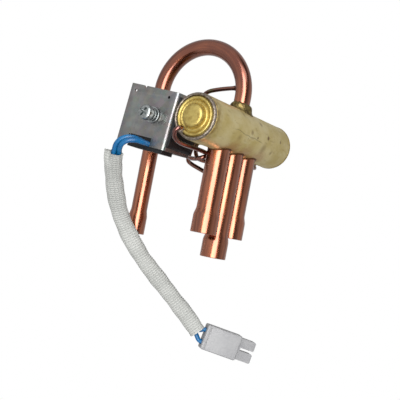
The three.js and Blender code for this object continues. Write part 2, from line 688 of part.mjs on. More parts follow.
// A point of the housing: along from its middle, sideways, and height above the table.
function atHousing(along, sideways, height = HOUSING_HEIGHT / 2) {
  const [x, y] = HOUSING_AT;
  const c = Math.cos(HOUSING_TURN);
  const s = Math.sin(HOUSING_TURN);
  return [x + along * c - sideways * s, y + along * s + sideways * c, height];
}

// One wire lies over or under the other at the coil, turns beside it before the sleeve, and at the
// housing spreads to its own contact.
function leadWire(hand) {
  const points = LEAD_ROUTE.map((point, i) => {
    const before = new THREE.Vector3(...LEAD_ROUTE[Math.max(i - 1, 0)]);
    const after = new THREE.Vector3(...LEAD_ROUTE[Math.min(i + 1, LEAD_ROUTE.length - 1)]);
    const ahead = after.sub(before).normalize();
    const side = new THREE.Vector3(-ahead.y, ahead.x, 0).normalize();
    const over = new THREE.Vector3().crossVectors(ahead, side);
    const turn = WIRE_STACK * Math.cos((Math.PI / 2) * Math.min(i / SLEEVE_FIRST, 1)) ** 2;
    const apart = side.multiplyScalar(Math.cos(turn)).addScaledVector(over, Math.sin(turn));
    return new THREE.Vector3(...point).addScaledVector(apart, hand * WIRE_SPREAD).toArray();
  });
  const back = -HOUSING_LENGTH / 2;
  points.push(atHousing(back - 1.5, hand * (HOUSING_PITCH - 0.25)));
  points.push(atHousing(back + 1.5, hand * HOUSING_PITCH));
  points.push(atHousing(back + 4, hand * HOUSING_PITCH));
  const route = smoothRoute(points);
  return tubeAlong(route, Math.round(route.getLength() / LEAD_STEP), WIRE_RADIUS, 0, 4);
}

function braidedSleeve() {
  const route = smoothRoute(LEAD_ROUTE.slice(SLEEVE_FIRST));
  return tubeAlong(route, Math.round(route.getLength() / LEAD_STEP), SLEEVE_RADIUS, SLEEVE_BORE, 5);
}

// Housing pieces are drawn along +X with the wires coming in at -X, then set down on the table.
function setDown(mesh) {
  const [x, y, z] = atHousing(0, 0);
  mesh.position.set(x, y, z);
  mesh.rotation.z = HOUSING_TURN;
  return mesh;
}

// The housing: a block with a cavity for each contact, each cavity ending in an open tongue.
function connectorHousing() {
  const back = -HOUSING_LENGTH / 2;
  const front = HOUSING_LENGTH / 2;
  const tip = front + TONGUE_LENGTH;
  const tongueHalf = HOUSING_HEIGHT / 2 - 1;
  const body = extruded(roundedRect(0, 0, HOUSING_WIDTH, HOUSING_HEIGHT, 1), HOUSING_LENGTH, 2);
  let housing = solid(body.rotateY(Math.PI / 2).rotateX(Math.PI / 2).translate(back, 0, 0));
  for (const y of [-HOUSING_PITCH, HOUSING_PITCH]) {
    housing = housing.add(solid(block(front - 1, tip, y - 2.9, y + 2.9, -tongueHalf, tongueHalf)));
  }
  for (const y of [-HOUSING_PITCH, HOUSING_PITCH]) {
    const wireHole = turnedX(rod(back - 1, back + 5, WIRE_RADIUS + 0.4), SMALL_SIDES);
    const cavity = block(back + 4.5, tip + 1, y - 2, y + 2, -2, 2);
    housing = housing.subtract(solid(wireHole.translate(0, y, 0)));
    housing = housing.subtract(solid(cavity));
  }
  return setDown(piece('connector_housing', housing, whitePlastic));
}

// A crimped receptacle: a flat box, open at the front.
function terminal(name, y) {
  const back = -HOUSING_LENGTH / 2 + 4.8;
  const tip = HOUSING_LENGTH / 2 + TONGUE_LENGTH - 1.2;
  const box = solid(block(back, tip, -1.7, 1.7, -1.4, 1.4));
  const hollow = solid(block(tip - 9, tip + 1, -1.3, 1.3, -0.9, 0.9));
  return setDown(piece(name, box.subtract(hollow).translate([0, y, 0]), tin));
}

// ---- assembly ----

const valve = new THREE.Group();

valve.add(bodyTube());
valve.add(nearCap());
valve.add(nearBrazeRing());
valve.add(farCap());
valve.add(seatBlock());
valve.add(mainSlide());
valve.add(carrierPlate());
valve.add(...pistonEnd('near', 7.6, -1));
valve.add(...pistonEnd('far', 65.8, 1));
valve.add(linePipe('evaporator_pipe', -1, SIDE_PIPE_FLARE, SIDE_PIPE_END));
valve.add(linePipe('suction_pipe', 0, SUCTION_FLARE, SUCTION_END));
valve.add(linePipe('condenser_pipe', 1, SIDE_PIPE_FLARE, SIDE_PIPE_END));
valve.add(dischargePipe());
valve.add(dischargeCollar());
valve.add(pilotBracket());
for (const name of Object.keys(CAPILLARY_ROUTES)) {
  valve.add(capillary(name));
}

const pilot = new THREE.Group();
pilot.position.set(0, PILOT_Y, PILOT_Z);
pilot.add(pilotBody());
pilot.add(pilotTube());
pilot.add(fixedCore());
pilot.add(plunger());
pilot.add(returnSpring());
pilot.add(pilotCarrier());
pilot.add(pilotSlide());
pilot.add(pilotSeat());
valve.add(pilot);

const coil = new THREE.Group();
coil.rotation.x = COIL_TURN;
coil.add(coilFrame());
coil.add(coilMoulding());
coil.add(coilBobbin());
coil.add(coilWinding());
coil.add(coilScrew());
coil.add(springWasher());
coil.add(flatWasher());
pilot.add(coil);

// Lay the valve down: its pipes point along -Y and its body dips towards +X.
const along = new THREE.Vector3(Math.cos(BODY_DIP), 0, -Math.sin(BODY_DIP));
const pipes = new THREE.Vector3(0, -1, 0);
const side = new THREE.Vector3().crossVectors(along, pipes);
const laid = new THREE.Matrix4().makeBasis(along, pipes, side);
const tilt = new THREE.Matrix4().makeRotationX(PIPE_TILT);
valve.applyMatrix4(laid);
valve.applyMatrix4(tilt);

// Stand the valve on the table and add its lead, which is drawn where it lies.
valve.updateMatrixWorld(true);
const extent = new THREE.Box3().setFromObject(valve, true);
valve.position.x -= (extent.min.x + extent.max.x) / 2;
valve.position.y -= (extent.min.y + extent.max.y) / 2;
valve.position.z -= extent.min.z;

const whole = new THREE.Group();
whole.add(valve);
whole.add(piece('lead_wire_a', leadWire(1), blueWire));
whole.add(piece('lead_wire_b', leadWire(-1), blueWire));
whole.add(piece('braided_sleeve', braidedSleeve(), sleeveFibre));
whole.add(connectorHousing());
whole.add(terminal('terminal_a', HOUSING_PITCH));
whole.add(terminal('terminal_b', -HOUSING_PITCH));
whole.updateMatrixWorld(true);

export default whole;
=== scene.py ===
"""A refrigerant reversing valve with its pilot valve, coil and lead, lying on a pale table.

Pieces are drawn in millimetres in the valve's own frame (the body along +X, the line pipes along
+Y, the pilot valve at +Z), and settle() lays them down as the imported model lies.
"""
import math
import random

import bmesh
import bpy
from mathutils import Matrix, Vector


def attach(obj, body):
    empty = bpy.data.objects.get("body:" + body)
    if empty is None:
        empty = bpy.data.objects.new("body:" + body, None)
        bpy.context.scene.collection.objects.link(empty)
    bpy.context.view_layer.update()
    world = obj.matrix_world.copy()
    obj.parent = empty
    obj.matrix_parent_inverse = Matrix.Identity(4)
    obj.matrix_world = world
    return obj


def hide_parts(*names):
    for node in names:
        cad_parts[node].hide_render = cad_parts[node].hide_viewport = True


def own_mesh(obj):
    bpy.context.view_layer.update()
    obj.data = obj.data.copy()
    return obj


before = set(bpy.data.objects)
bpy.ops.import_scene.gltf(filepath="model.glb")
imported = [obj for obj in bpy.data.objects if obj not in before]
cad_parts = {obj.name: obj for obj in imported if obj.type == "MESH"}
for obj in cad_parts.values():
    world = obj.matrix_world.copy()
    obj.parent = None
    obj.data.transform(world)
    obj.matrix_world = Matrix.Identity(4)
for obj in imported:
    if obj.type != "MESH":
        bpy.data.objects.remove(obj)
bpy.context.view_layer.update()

MM = 0.001


# ---------------------------------------------------------------- places

VALVE_AT = (-17.308, 9.738, 75.592)
VALVE_DIP = 47.75
VALVE_TILT = -0.6
PILOT_Z = 31.2
PILOT_AT = (0, 0.8, PILOT_Z)
COIL_TURN = 6
PLUG_AT = (35.5, -113.6, 4.5)
PLUG_TURN = -9.9


def moved(point):
    return Matrix.Translation(Vector(point) * MM)


def turned(degrees, axis):
    return Matrix.Rotation(math.radians(degrees), 4, axis)


def axes(x, y, z):
    return Matrix((x, y, z)).transposed().to_4x4()


def laid_down():
    """The valve's frame: the body dips towards +X and the pipes run along -Y."""
    dip = math.radians(VALVE_DIP)
    along = Vector((math.cos(dip), 0, -math.sin(dip)))
    pipes = Vector((0, -1, 0))
    laid = axes(along, pipes, along.cross(pipes))
    return moved(VALVE_AT) @ turned(VALVE_TILT, "X") @ laid


VALVE = laid_down()
PILOT = VALVE @ moved(PILOT_AT)
COIL = PILOT @ turned(COIL_TURN, "X")
TABLE = Matrix.Identity(4)
PLUG = moved(PLUG_AT) @ turned(PLUG_TURN, "Z")


BODY_RADIUS = 13
BODY_BORE = 11.7
BODY_LENGTH = 88
PORT_MID = 44.2
PORT_PITCH = 15
LINE_RADIUS = 6.35
LINE_SOCKET = 7.35
LINE_WALL = 0.9
DISCHARGE_RADIUS = 4.76
DISCHARGE_WALL = 0.8
DISCHARGE_SWELL = 0.79
BEND_RADIUS = 28.2
BEND_START = -20.6
LEG_Z = 2 * BEND_RADIUS
# Each stain's centre, radius, softness and depth.
BODY_STAINS = (
    ((59.6, -1.2, -12.9), 1.15, 0.7, 0.85), ((75.4, -2.0, -12.8), 0.8, 0.5, 0.7),
    ((47.1, 1.1, -12.9), 0.7, 0.5, 0.7), ((52.1, -7.7, -10.4), 1.3, 1.2, 0.5),
    ((39.8, -0.8, -13.0), 1.2, 1.0, 0.5), ((57.5, 5.4, -11.8), 2.4, 2.0, 0.4),
    ((33.0, -9.0, -9.4), 1.2, 1.2, 0.45), ((68.0, 6.0, -11.5), 1.0, 0.8, 0.5),
    ((28.0, 4.5, -12.2), 1.4, 1.4, 0.35),
)


# ---------------------------------------------------------------- camera and light

# The camera and the lights are placed in metres, in the table's frame.
CAMERA_AT = (-0.08696, -0.0459, 0.51378)
CAMERA_RIGHT = (0.9648, 0.1898, 0.1822)
CAMERA_BACK = (-0.18, -0.0293, 0.9832)
LENS = 76.35
SENSOR = 36
MIDDLE = (0, 0, 0.03)


def placed(name, data, place=None):
    """A new object in the scene."""
    obj = bpy.data.objects.new(name, data)
    bpy.context.scene.collection.objects.link(obj)
    if place is not None:
        obj.matrix_world = place
    return obj


def add_camera():
    data = bpy.data.cameras.new("camera")
    data.sensor_width = SENSOR
    data.lens = LENS
    data.clip_start = 0.01
    back = Vector(CAMERA_BACK).normalized()
    up = back.cross(Vector(CAMERA_RIGHT).normalized()).normalized()
    turn = axes(up.cross(back), up, back)
    bpy.context.scene.camera = placed("camera", data, Matrix.Translation(CAMERA_AT) @ turn)


def add_softbox(name, at, size, power):
    """A lamp that faces the middle of the part, with its second size along Y."""
    data = bpy.data.lights.new(name, "AREA")
    data.shape = "RECTANGLE"
    data.size, data.size_y = size
    data.energy = power
    back = (Vector(at) - Vector(MIDDLE)).normalized()
    right = Vector((0, 1, 0)).cross(back).normalized()
    placed(name, data, Matrix.Translation(at) @ axes(right, back.cross(right), back))


# ---------------------------------------------------------------- materials

class Finish:
    """A procedural material in millimetres of one place's frame, with helpers that add a node."""

    def __init__(self, name, metallic=0.0, roughness=0.5, place=VALVE):
        self.material = bpy.data.materials.new(name)
        self.material.use_nodes = True
        self.tree = self.material.node_tree
        self.shader = self.tree.nodes["Principled BSDF"]
        self.shader.inputs["Metallic"].default_value = metallic
        self.shader.inputs["Roughness"].default_value = roughness
        back = place.inverted()
        self.at = self.node(
            "ShaderNodeMapping", Vector=self.node("ShaderNodeTexCoord").outputs["Object"],
            Location=back.translation / MM, Rotation=back.to_euler("XYZ"), Scale=(1 / MM, 1 / MM, 1 / MM),
        ).outputs["Vector"]

    def node(self, kind, settings=None, **inputs):
        made = self.tree.nodes.new(kind)
        for key, value in (settings or {}).items():
            setattr(made, key, value)
        for key, value in inputs.items():
            self.feed(made.inputs[key.replace("_", " ")], value)
        return made

    def feed(self, socket, value):
        if isinstance(value, bpy.types.NodeSocket):
            self.tree.links.new(value, socket)
        else:
            socket.default_value = value

    def vector(self, operation, a, b, result="Vector"):
        made = self.node("ShaderNodeVectorMath", {"operation": operation})
        self.feed(made.inputs[0], a)
        self.feed(made.inputs[1], b)
        return made.outputs[result]

    def math(self, operation, *values):
        made = self.node("ShaderNodeMath", {"operation": operation})
        for socket, value in zip(made.inputs, values):
            self.feed(socket, value)
        return made.outputs[0]

    def axis(self, letter):
        return self.node("ShaderNodeSeparateXYZ", Vector=self.at).outputs[letter]

    def noise(self, scale, detail=3.0, rough=0.5, stretch=None, where=None):
        where = where or self.at
        if stretch is not None:
            where = self.vector("MULTIPLY", where, stretch)
        made = self.node("ShaderNodeTexNoise", Vector=where, Scale=scale, Detail=detail, Roughness=rough)
        return made.outputs["Fac"]

    def step(self, value, low, high, to_low=0.0, to_high=1.0):
        """Smoothly from to_low at low to to_high at high."""
        made = self.node(
            "ShaderNodeMapRange", {"interpolation_type": "SMOOTHSTEP"},
            Value=value, From_Min=low, From_Max=high, To_Min=to_low, To_Max=to_high,
        )
        return made.outputs["Result"]

    def spot(self, point, radius, soft, wobble=0.0):
        """1 inside a ball round a point in millimetres, 0 outside it."""
        distance = self.vector("DISTANCE", self.at, point, "Value")
        if wobble:
            ragged = self.math("MULTIPLY", self.math("SUBTRACT", self.noise(0.9, 4), 0.5), wobble)
            distance = self.math("ADD", distance, ragged)
        return self.step(distance, radius + soft, radius - soft)

    def mix(self, factor, a, b):
        made = self.node("ShaderNodeMix", {"data_type": "RGBA"})
        self.feed(made.inputs[0], factor)
        self.feed(made.inputs[6], a)
        self.feed(made.inputs[7], b)
        return made.outputs[2]

    def over(self, tone, mask, share, stain):
        """The tone with a stain over it where the mask is 1, at the share given."""
        return self.mix(self.math("MULTIPLY", mask, share), tone, stain)

    def color(self, value):
        self.feed(self.shader.inputs["Base Color"], value)

    def rough(self, value):
        self.feed(self.shader.inputs["Roughness"], value)

    def bump(self, height, distance=0.05, strength=1.0):
        made = self.node("ShaderNodeBump", Height=height, Distance=distance * MM, Strength=strength)
        self.feed(self.shader.inputs["Normal"], made.outputs["Normal"])


def srgb(r, g, b):
    """A colour given as the usual 0 to 255 display values."""
    def linear(c):
        c /= 255
        return c / 12.92 if c <= 0.04045 else ((c + 0.055) / 1.055) ** 2.4
    return (linear(r), linear(g), linear(b), 1)


def pale_brass():
    """Dull lacquered brass with brown specks, heat tint at the pipe roots and a faint scratch."""
    f = Finish("pale_brass", metallic=0.7)
    patches = f.step(f.noise(0.07, 4, 0.55), 0.35, 0.68)
    tone = f.mix(patches, srgb(216, 200, 148), srgb(196, 176, 110))
    bloom = f.step(f.noise(0.16, 5, 0.6, (0.5, 1, 1)), 0.5, 0.72)
    tone = f.over(tone, bloom, 0.45, srgb(226, 218, 180))
    streaks = f.step(f.noise(0.5, 5, 0.6, (0.25, 1, 1)), 0.55, 0.75)
    tone = f.over(tone, streaks, 0.4, srgb(140, 104, 48))
    specks = f.step(f.noise(0.85, 2, 0.5), 0.69, 0.77)
    tone = f.over(tone, specks, 0.8, srgb(96, 64, 28))
    heat = f.spot((PORT_MID, -11.5, 0), 8.4, 2.5, 4)
    for step in (-1, 0, 1):
        heat = f.math("MAXIMUM", heat, f.spot((PORT_MID + step * PORT_PITCH, 11, -4), 7.6, 3.0, 6))
    tone = f.over(tone, heat, 0.45, srgb(160, 100, 50))
    # Painted shade: the body darkens to a mottled brown over its first 9 mm, next to the near cap's ring.
    near = f.step(f.axis("X"), 9, 0)
    mottle = f.step(f.noise(0.35, 3), 0.35, 0.65, 0.25, 0.85)
    tone = f.over(tone, near, mottle, srgb(140, 112, 50))
    for point, radius, soft, depth in BODY_STAINS:
        stain = f.spot(point, radius, soft, 1.4)
        tone = f.over(tone, stain, depth, srgb(104, 68, 30))
    sway = f.math("MULTIPLY", f.noise(0.14, 2), 3.2)
    line = f.math("ADD", f.axis("Y"), f.math("MULTIPLY", f.axis("X"), -0.04))
    line = f.math("ABSOLUTE", f.math("SUBTRACT", f.math("ADD", line, sway), 1.9))
    scratch = f.step(f.math("ADD", line, f.math("MULTIPLY", f.noise(0.9, 3), 0.4)), 0.55, 0.2)
    ends = f.math("MULTIPLY", f.step(f.axis("X"), 18, 24), f.step(f.axis("X"), 56, 50))
    facing = f.step(f.axis("Z"), -8, -10)
    scratch = f.math("MULTIPLY", f.math("MULTIPLY", scratch, ends), facing)
    tone = f.over(tone, scratch, 0.55, srgb(84, 66, 36))
    f.color(tone)
    f.rough(f.step(f.noise(0.22, 5, 0.6), 0.3, 0.75, 0.34, 0.52))
    f.bump(f.math("ADD", f.noise(0.5, 5, 0.6), f.math("MULTIPLY", specks, -0.4)), 0.05, 0.5)
    return f.material


def cap_brass():
    f = Finish("cap_brass", metallic=0.85)
    patches = f.step(f.noise(0.35, 4, 0.6), 0.35, 0.7)
    tone = f.mix(patches, srgb(200, 180, 108), srgb(170, 146, 80))
    grime = f.step(f.noise(1.2, 4, 0.6), 0.6, 0.8)
    tone = f.over(tone, grime, 0.5, srgb(96, 74, 40))
    f.color(tone)
    f.rough(f.step(f.noise(0.5, 5), 0.3, 0.75, 0.42, 0.56))
    f.bump(f.noise(1.1, 4), 0.02, 0.3)
    return f.material


def braze_metal(name, light, dark):
    f = Finish(name, metallic=0.9)
    tone = f.mix(f.step(f.noise(0.8, 5, 0.65), 0.35, 0.65), light, dark)
    flux = f.step(f.noise(1.7, 3, 0.5), 0.6, 0.72)
    tone = f.over(tone, flux, 0.4, srgb(60, 44, 36))
    f.color(tone)
    f.rough(f.step(f.noise(1.1, 4), 0.3, 0.7, 0.34, 0.54))
    f.bump(f.noise(0.7, 3, 0.5), 0.14, 0.5)
    return f.material


def copper(name, light, dark, oxide, bands=(), bend=0.0):
    """Drawn copper tube, streaked along its length.

    A tube's "tube" attribute unrolls it, in millimetres: round it in X and Z, and along it in Y.
    Bands are (point, radius, colour) of braze metal on it, and the bend is darkened by a share as a painted
    dark reflection.
    """
    f = Finish(name, metallic=1.0)
    tube = f.node("ShaderNodeAttribute", {"attribute_name": "tube"}).outputs["Vector"]
    drawn = f.noise(0.75, 4, 0.6, (1, 0.03, 1), tube)
    tone = f.mix(f.step(drawn, 0.35, 0.66), light, dark)
    dull = f.step(f.noise(0.4, 4, 0.65, (1, 0.07, 1), tube), 0.5, 0.66)
    tone = f.over(tone, dull, 0.7, oxide)
    bright = f.step(f.noise(0.9, 3, 0.5, (1, 0.02, 1), tube), 0.6, 0.7)
    tone = f.over(tone, bright, 0.35, srgb(210, 136, 90))
    spots = f.step(f.noise(1.3, 2), 0.7, 0.78)
    tone = f.over(tone, spots, 0.55, srgb(70, 30, 18))
    if bend:
        # Painted dark reflection: the copper past Y -16, over the bend, darkens in patches by the share
        # given.
        patches = f.step(f.noise(0.12, 3), 0.2, 0.6, 0.5, 1)
        bend_dark_reflection = f.math("MULTIPLY", f.step(f.axis("Y"), -16, -34), patches)
        tone = f.over(tone, bend_dark_reflection, bend, srgb(112, 46, 26))
    for point, radius, stain in bands:
        tone = f.mix(f.spot(point, radius, radius * 0.35, 0.8), tone, stain)
    f.color(tone)
    f.rough(f.step(f.noise(0.4, 5, 0.6, (1, 0.2, 1), tube), 0.3, 0.75, 0.19, 0.34))
    f.bump(drawn, 0.006, 0.5)
    f.shader.inputs["Coat Weight"].default_value = 0.9
    f.shader.inputs["Coat Roughness"].default_value = 0.16
    f.shader.inputs["Coat IOR"].default_value = 1.8
    return f.material


def zinc():
    """Galvanised sheet: soft spangle and a faint warm and cool mottle."""
    f = Finish("zinc", metallic=0.92, place=COIL)
    spangle = f.node("ShaderNodeTexVoronoi", Vector=f.at, Scale=0.35).outputs["Color"]
    grey = f.mix(f.step(f.noise(0.2, 4), 0.35, 0.65), srgb(150, 149, 146), srgb(136, 139, 138))
    tone = f.mix(0.035, grey, spangle)
    pink = f.step(f.noise(0.11, 3), 0.5, 0.7)
    tone = f.over(tone, pink, 0.3, srgb(150, 132, 130))
    f.color(tone)
    f.rough(f.step(f.noise(0.6, 4, 0.6, (1, 0.15, 1)), 0.3, 0.7, 0.26, 0.4))
    f.bump(f.noise(1.4, 3, 0.5, (1, 0.1, 1)), 0.012, 0.4)
    return f.material


def machined(name, light, dark, roughness=(0.2, 0.4), metallic=1.0):
    f = Finish(name, metallic=metallic)
    f.color(f.mix(f.step(f.noise(0.7, 4), 0.35, 0.7), light, dark))
    rings = f.noise(3.0, 3, 0.5, (0.2, 1, 1))
    f.rough(f.step(rings, 0.3, 0.7, *roughness))
    f.bump(rings, 0.02, 0.4)
    return f.material


def moulded(name, light, dark, roughness=(0.32, 0.5), grain=0.03, coat=0.0, place=VALVE):
    f = Finish(name, place=place)
    f.color(f.mix(f.step(f.noise(0.15, 4), 0.35, 0.7), light, dark))
    f.rough(f.step(f.noise(0.7, 4), 0.3, 0.7, *roughness))
    f.bump(f.noise(2.2, 3), grain, 0.4)
    f.shader.inputs["Coat Weight"].default_value = coat
    return f.material


def braid_fibre():
    """Varnished glass-fibre yarn: pale, a little dirty, with painted shade between the stitches."""
    f = Finish("braid_fibre", roughness=0.6, place=TABLE)
    tone = f.mix(f.step(f.noise(0.1, 4), 0.35, 0.7), srgb(176, 177, 173), srgb(166, 167, 163))
    # Painted shade: darker where the stitch height is low, in the hollows between the stitches.
    depth = f.node("ShaderNodeAttribute", {"attribute_name": "stitch"}).outputs["Fac"]
    tone = f.mix(f.step(depth, 0.55, 0.05, 0.0, 0.4), tone, srgb(116, 119, 117))
    f.color(tone)
    f.shader.inputs["Sheen Weight"].default_value = 0.15
    f.bump(f.noise(5.0, 3), 0.02, 0.3)
    return f.material


M = {
    "pale_brass": pale_brass(),
    "cap_brass": cap_brass(),
    "braze_ring": braze_metal("braze_ring", srgb(160, 150, 136), srgb(108, 96, 88)),
    "braze_collar": braze_metal("braze_collar", srgb(148, 130, 80), srgb(88, 72, 46)),
    "braze_fillet": braze_metal("braze_fillet", srgb(120, 76, 44), srgb(84, 52, 32)),
    "copper": copper("copper", srgb(196, 112, 68), srgb(158, 80, 46), srgb(112, 52, 28), bend=0.65),
    "capillary": copper(
        "capillary", srgb(132, 64, 46), srgb(92, 44, 34), srgb(70, 34, 28),
        (((44.4, -22.8, 21.5), 2.2, srgb(112, 98, 54)), ((44.3, 25.6, 9.5), 2.6, srgb(112, 96, 50)),
         ((-3.4, 7.6, 6.9), 1.6, srgb(110, 90, 76))),
    ),
    "zinc": zinc(),
    "steel": machined("steel", srgb(196, 198, 200), srgb(168, 170, 174)),
    "bright_zinc": machined("bright_zinc", srgb(190, 194, 194), srgb(146, 152, 152), (0.2, 0.36)),
    "seat_brass": machined("seat_brass", srgb(214, 188, 120), srgb(186, 158, 92)),
    "slide_plastic": moulded("slide_plastic", srgb(190, 184, 168), srgb(176, 168, 148)),
    "seal_plastic": moulded("seal_plastic", srgb(200, 198, 190), srgb(186, 184, 174)),
    "coil_black": moulded("coil_black", srgb(14, 16, 20), srgb(7, 8, 11), (0.4, 0.6), 0.05),
    "bobbin_plastic": moulded("bobbin_plastic", srgb(48, 48, 52), srgb(34, 34, 38)),
    "winding_copper": machined("winding_copper", srgb(190, 92, 48), srgb(150, 66, 34)),
    "blue_wire": moulded("blue_wire", srgb(10, 96, 146), srgb(6, 78, 128), (0.32, 0.46), 0.02, 0.1, TABLE),
    "braid_fibre": braid_fibre(),
    "white_plastic": moulded(
        "white_plastic", srgb(148, 148, 149), srgb(141, 141, 143), (0.36, 0.5), 0.02, 0.05, PLUG
    ),
    "tin": machined("tin", srgb(208, 208, 202), srgb(184, 184, 178)),
}


# ---------------------------------------------------------------- mesh helpers

LAID = []


def mesh_of(name, verts, faces):
    mesh = bpy.data.meshes.new(name)
    mesh.from_pydata([[c * MM for c in v] for v in verts], [], faces)
    return mesh


def make(name, verts, faces, place, material, sharp=32):
    """A mesh piece from points in millimetres of a place's frame."""
    obj = placed(name, mesh_of(name, verts, faces), place)
    obj.data.materials.append(M[material])
    tidy(obj, sharp)
    LAID.append(obj)
    return obj


def settle():
    """Move each piece's place into its mesh, so that it lies in the table's frame, and let it ride."""
    bpy.context.view_layer.update()
    for obj in LAID:
        obj.data.transform(obj.matrix_world)
        obj.matrix_world = Matrix.Identity(4)
        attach(obj, "valve")


def tidy(obj, sharp=32):
    """Weld, point the faces outwards and shade smooth except over sharp edges."""
    mesh = obj.data
    work = bmesh.new()
    work.from_mesh(mesh)
    bmesh.ops.remove_doubles(work, verts=work.verts, dist=1e-7)
    bmesh.ops.recalc_face_normals(work, faces=work.faces)
    work.to_mesh(mesh)
    work.free()
    mesh.shade_smooth()
    mesh.set_sharp_from_angle(angle=math.radians(sharp))


def stands_for(obj, *nodes):
    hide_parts(*nodes)
    return obj


def baked(obj):
    """Apply the modifiers to the mesh."""
    graph = bpy.context.evaluated_depsgraph_get()
    graph.update()
    mesh = bpy.data.meshes.new_from_object(obj.evaluated_get(graph))
    obj.modifiers.clear()
    obj.data = mesh


def cut(obj, cutters, operation="DIFFERENCE"):
    """Cut with helper solids, given as (verts, faces), in the object's own frame."""
    for verts, faces in cutters:
        mesh = mesh_of("cutter", verts, faces)
        cutter = placed("cutter", mesh, obj.matrix_world)
        tidy(cutter)
        modifier = obj.modifiers.new("cut", "BOOLEAN")
        modifier.operation = operation
        modifier.solver = "EXACT"
        modifier.object = cutter
        baked(obj)
        bpy.data.objects.remove(cutter)
        bpy.data.meshes.remove(mesh)


def bevelled(obj, width, segments=2, angle=30, sharp=40):
    modifier = obj.modifiers.new("bevel", "BEVEL")
    modifier.width = width * MM
    modifier.segments = segments
    modifier.limit_method = "ANGLE"
    modifier.angle_limit = math.radians(angle)
    baked(obj)
    tidy(obj, sharp)
    return obj


def new_ring(verts, count):
    """The numbers that the next points will have."""
    return list(range(len(verts), len(verts) + count))


def lathe(profile, sides, axis="X", at=(0, 0, 0), loop=False):
    """Turn [along, radius] pairs round an axis through a point; radius 0 makes a pole."""
    verts, rings = [], []
    for along, radius in profile:
        count = 1 if radius < 1e-6 else sides
        rings.append(new_ring(verts, count))
        for i in range(count):
            a = 2 * math.pi * i / sides
            u, v = radius * math.cos(a), radius * math.sin(a)
            x, y, z = {"X": (along, u, v), "Y": (u, along, v), "Z": (u, v, along)}[axis]
            verts.append((x + at[0], y + at[1], z + at[2]))
    return verts, bridged(rings, sides, loop)


def drill(start, end, radius, sides, axis="X", at=(0, 0, 0)):
    """A round rod."""
    return lathe([(start, 0), (start, radius), (end, radius), (end, 0)], sides, axis, at)


def bridged(rings, sides, loop=False):
    """Quads between neighbouring rings, and triangles where a ring is a single point."""
    faces = []
    for a, b in zip(rings, rings[1:] + rings[:1] if loop else rings[1:]):
        if len(a) == 1 and len(b) == 1:
            continue
        for i in range(sides):
            j = (i + 1) % sides
            if len(a) == 1:
                faces.append((a[0], b[i], b[j]))
            elif len(b) == 1:
                faces.append((a[i], b[0], a[j]))
            else:
                faces.append((a[i], b[i], b[j], a[j]))
    return faces


def soften(profile, radius, steps=4, loop=False):
    """Round the corners of a profile by at most radius."""
    points = [Vector(p) for p in profile]
    count = len(points)
    out = []
    for i, corner in enumerate(points):
        if not loop and i in (0, count - 1):
            out.append(tuple(corner))
            continue
        before, after = points[i - 1], points[(i + 1) % count]
        back, ahead = before - corner, after - corner
        size = min(radius, back.length * 0.45, ahead.length * 0.45)
        a = corner + back.normalized() * size
        b = corner + ahead.normalized() * size
        for k in range(steps + 1):
            t = k / steps
            out.append(tuple(a.lerp(corner, t).lerp(corner.lerp(b, t), t)))
    return out


def centripetal(points, step):
    """Points about step apart on the centripetal Catmull-Rom curve through the given ones."""
    knots = [Vector(p) for p in points]
    knots = [2 * knots[0] - knots[1], *knots, 2 * knots[-1] - knots[-2]]
    out = []
    for a, b, c, d in zip(knots, knots[1:], knots[2:], knots[3:]):
        ta, tb, tc = (max((q - p).length ** 0.5, 1e-4) for p, q in ((a, b), (b, c), (c, d)))
        start = ((b - a) / ta - (c - a) / (ta + tb) + (c - b) / tb) * tb
        end = ((c - b) / tb - (d - b) / (tb + tc) + (d - c) / tc) * tb
        count = max(1, round((c - b).length / step))
        for i in range(count):
            t = i / count
            t2, t3 = t * t, t * t * t
            from_b = (2 * t3 - 3 * t2 + 1) * b + (t3 - 2 * t2 + t) * start
            out.append(from_b + (3 * t2 - 2 * t3) * c + (t3 - t2) * end)
    out.append(knots[-2])
    return out


def length_of(points):
    return sum((b - a).length for a, b in zip(points, points[1:]))


def runs_along(points):
    """How far along the points each of them is."""
    runs = [0]
    for a, b in zip(points, points[1:]):
        runs.append(runs[-1] + (b - a).length)
    return runs


def frames_along(points):
    """A point, tangent and two side directions at each point, without twist."""
    count = len(points)
    tangents = []
    for i in range(count):
        tangents.append((points[min(i + 1, count - 1)] - points[max(i - 1, 0)]).normalized())
    side = tangents[0].orthogonal().normalized()
    out = []
    for point, tangent in zip(points, tangents):
        side = (side - tangent * side.dot(tangent)).normalized()
        out.append((point, tangent, side, tangent.cross(side)))
    return out


def unrolled(obj, coordinates):
    """Give a tube the coordinates, round and along it, that its streaks follow."""
    attribute = obj.data.attributes.new("tube", "FLOAT_VECTOR", "POINT")
    attribute.data.foreach_set("vector", [c for point in coordinates for c in point])


def sweep(points, radii, sides, bore=None):
    """A tube along points, and its unrolled coordinates; bore holds its inner radii."""
    frames = frames_along(points)
    verts, rings, coordinates = [], [], []
    runs = runs_along(points)

    def ring(i, radius):
        point, _, side, up = frames[i]
        rings.append(new_ring(verts, sides))
        for k in range(sides):
            a = 2 * math.pi * k / sides
            verts.append(point + (side * math.cos(a) + up * math.sin(a)) * radius)
            coordinates.append((radius * math.cos(a), runs[i], radius * math.sin(a)))

    for i, radius in enumerate(radii):
        ring(i, radius)
    if bore:
        for i in reversed(range(len(points))):
            ring(i, bore[i])
        return verts, bridged(rings, sides, True), coordinates
    faces = bridged(rings, sides)
    return verts, [*faces, tuple(rings[0]), tuple(reversed(rings[-1]))], coordinates


def box(x0, x1, y0, y1, z0, z1):
    verts = [(x, y, z) for x in (x0, x1) for y in (y0, y1) for z in (z0, z1)]
    faces = [(0, 1, 3, 2), (4, 6, 7, 5), (0, 4, 5, 1), (2, 3, 7, 6), (0, 2, 6, 4), (1, 5, 7, 3)]
    return verts, faces


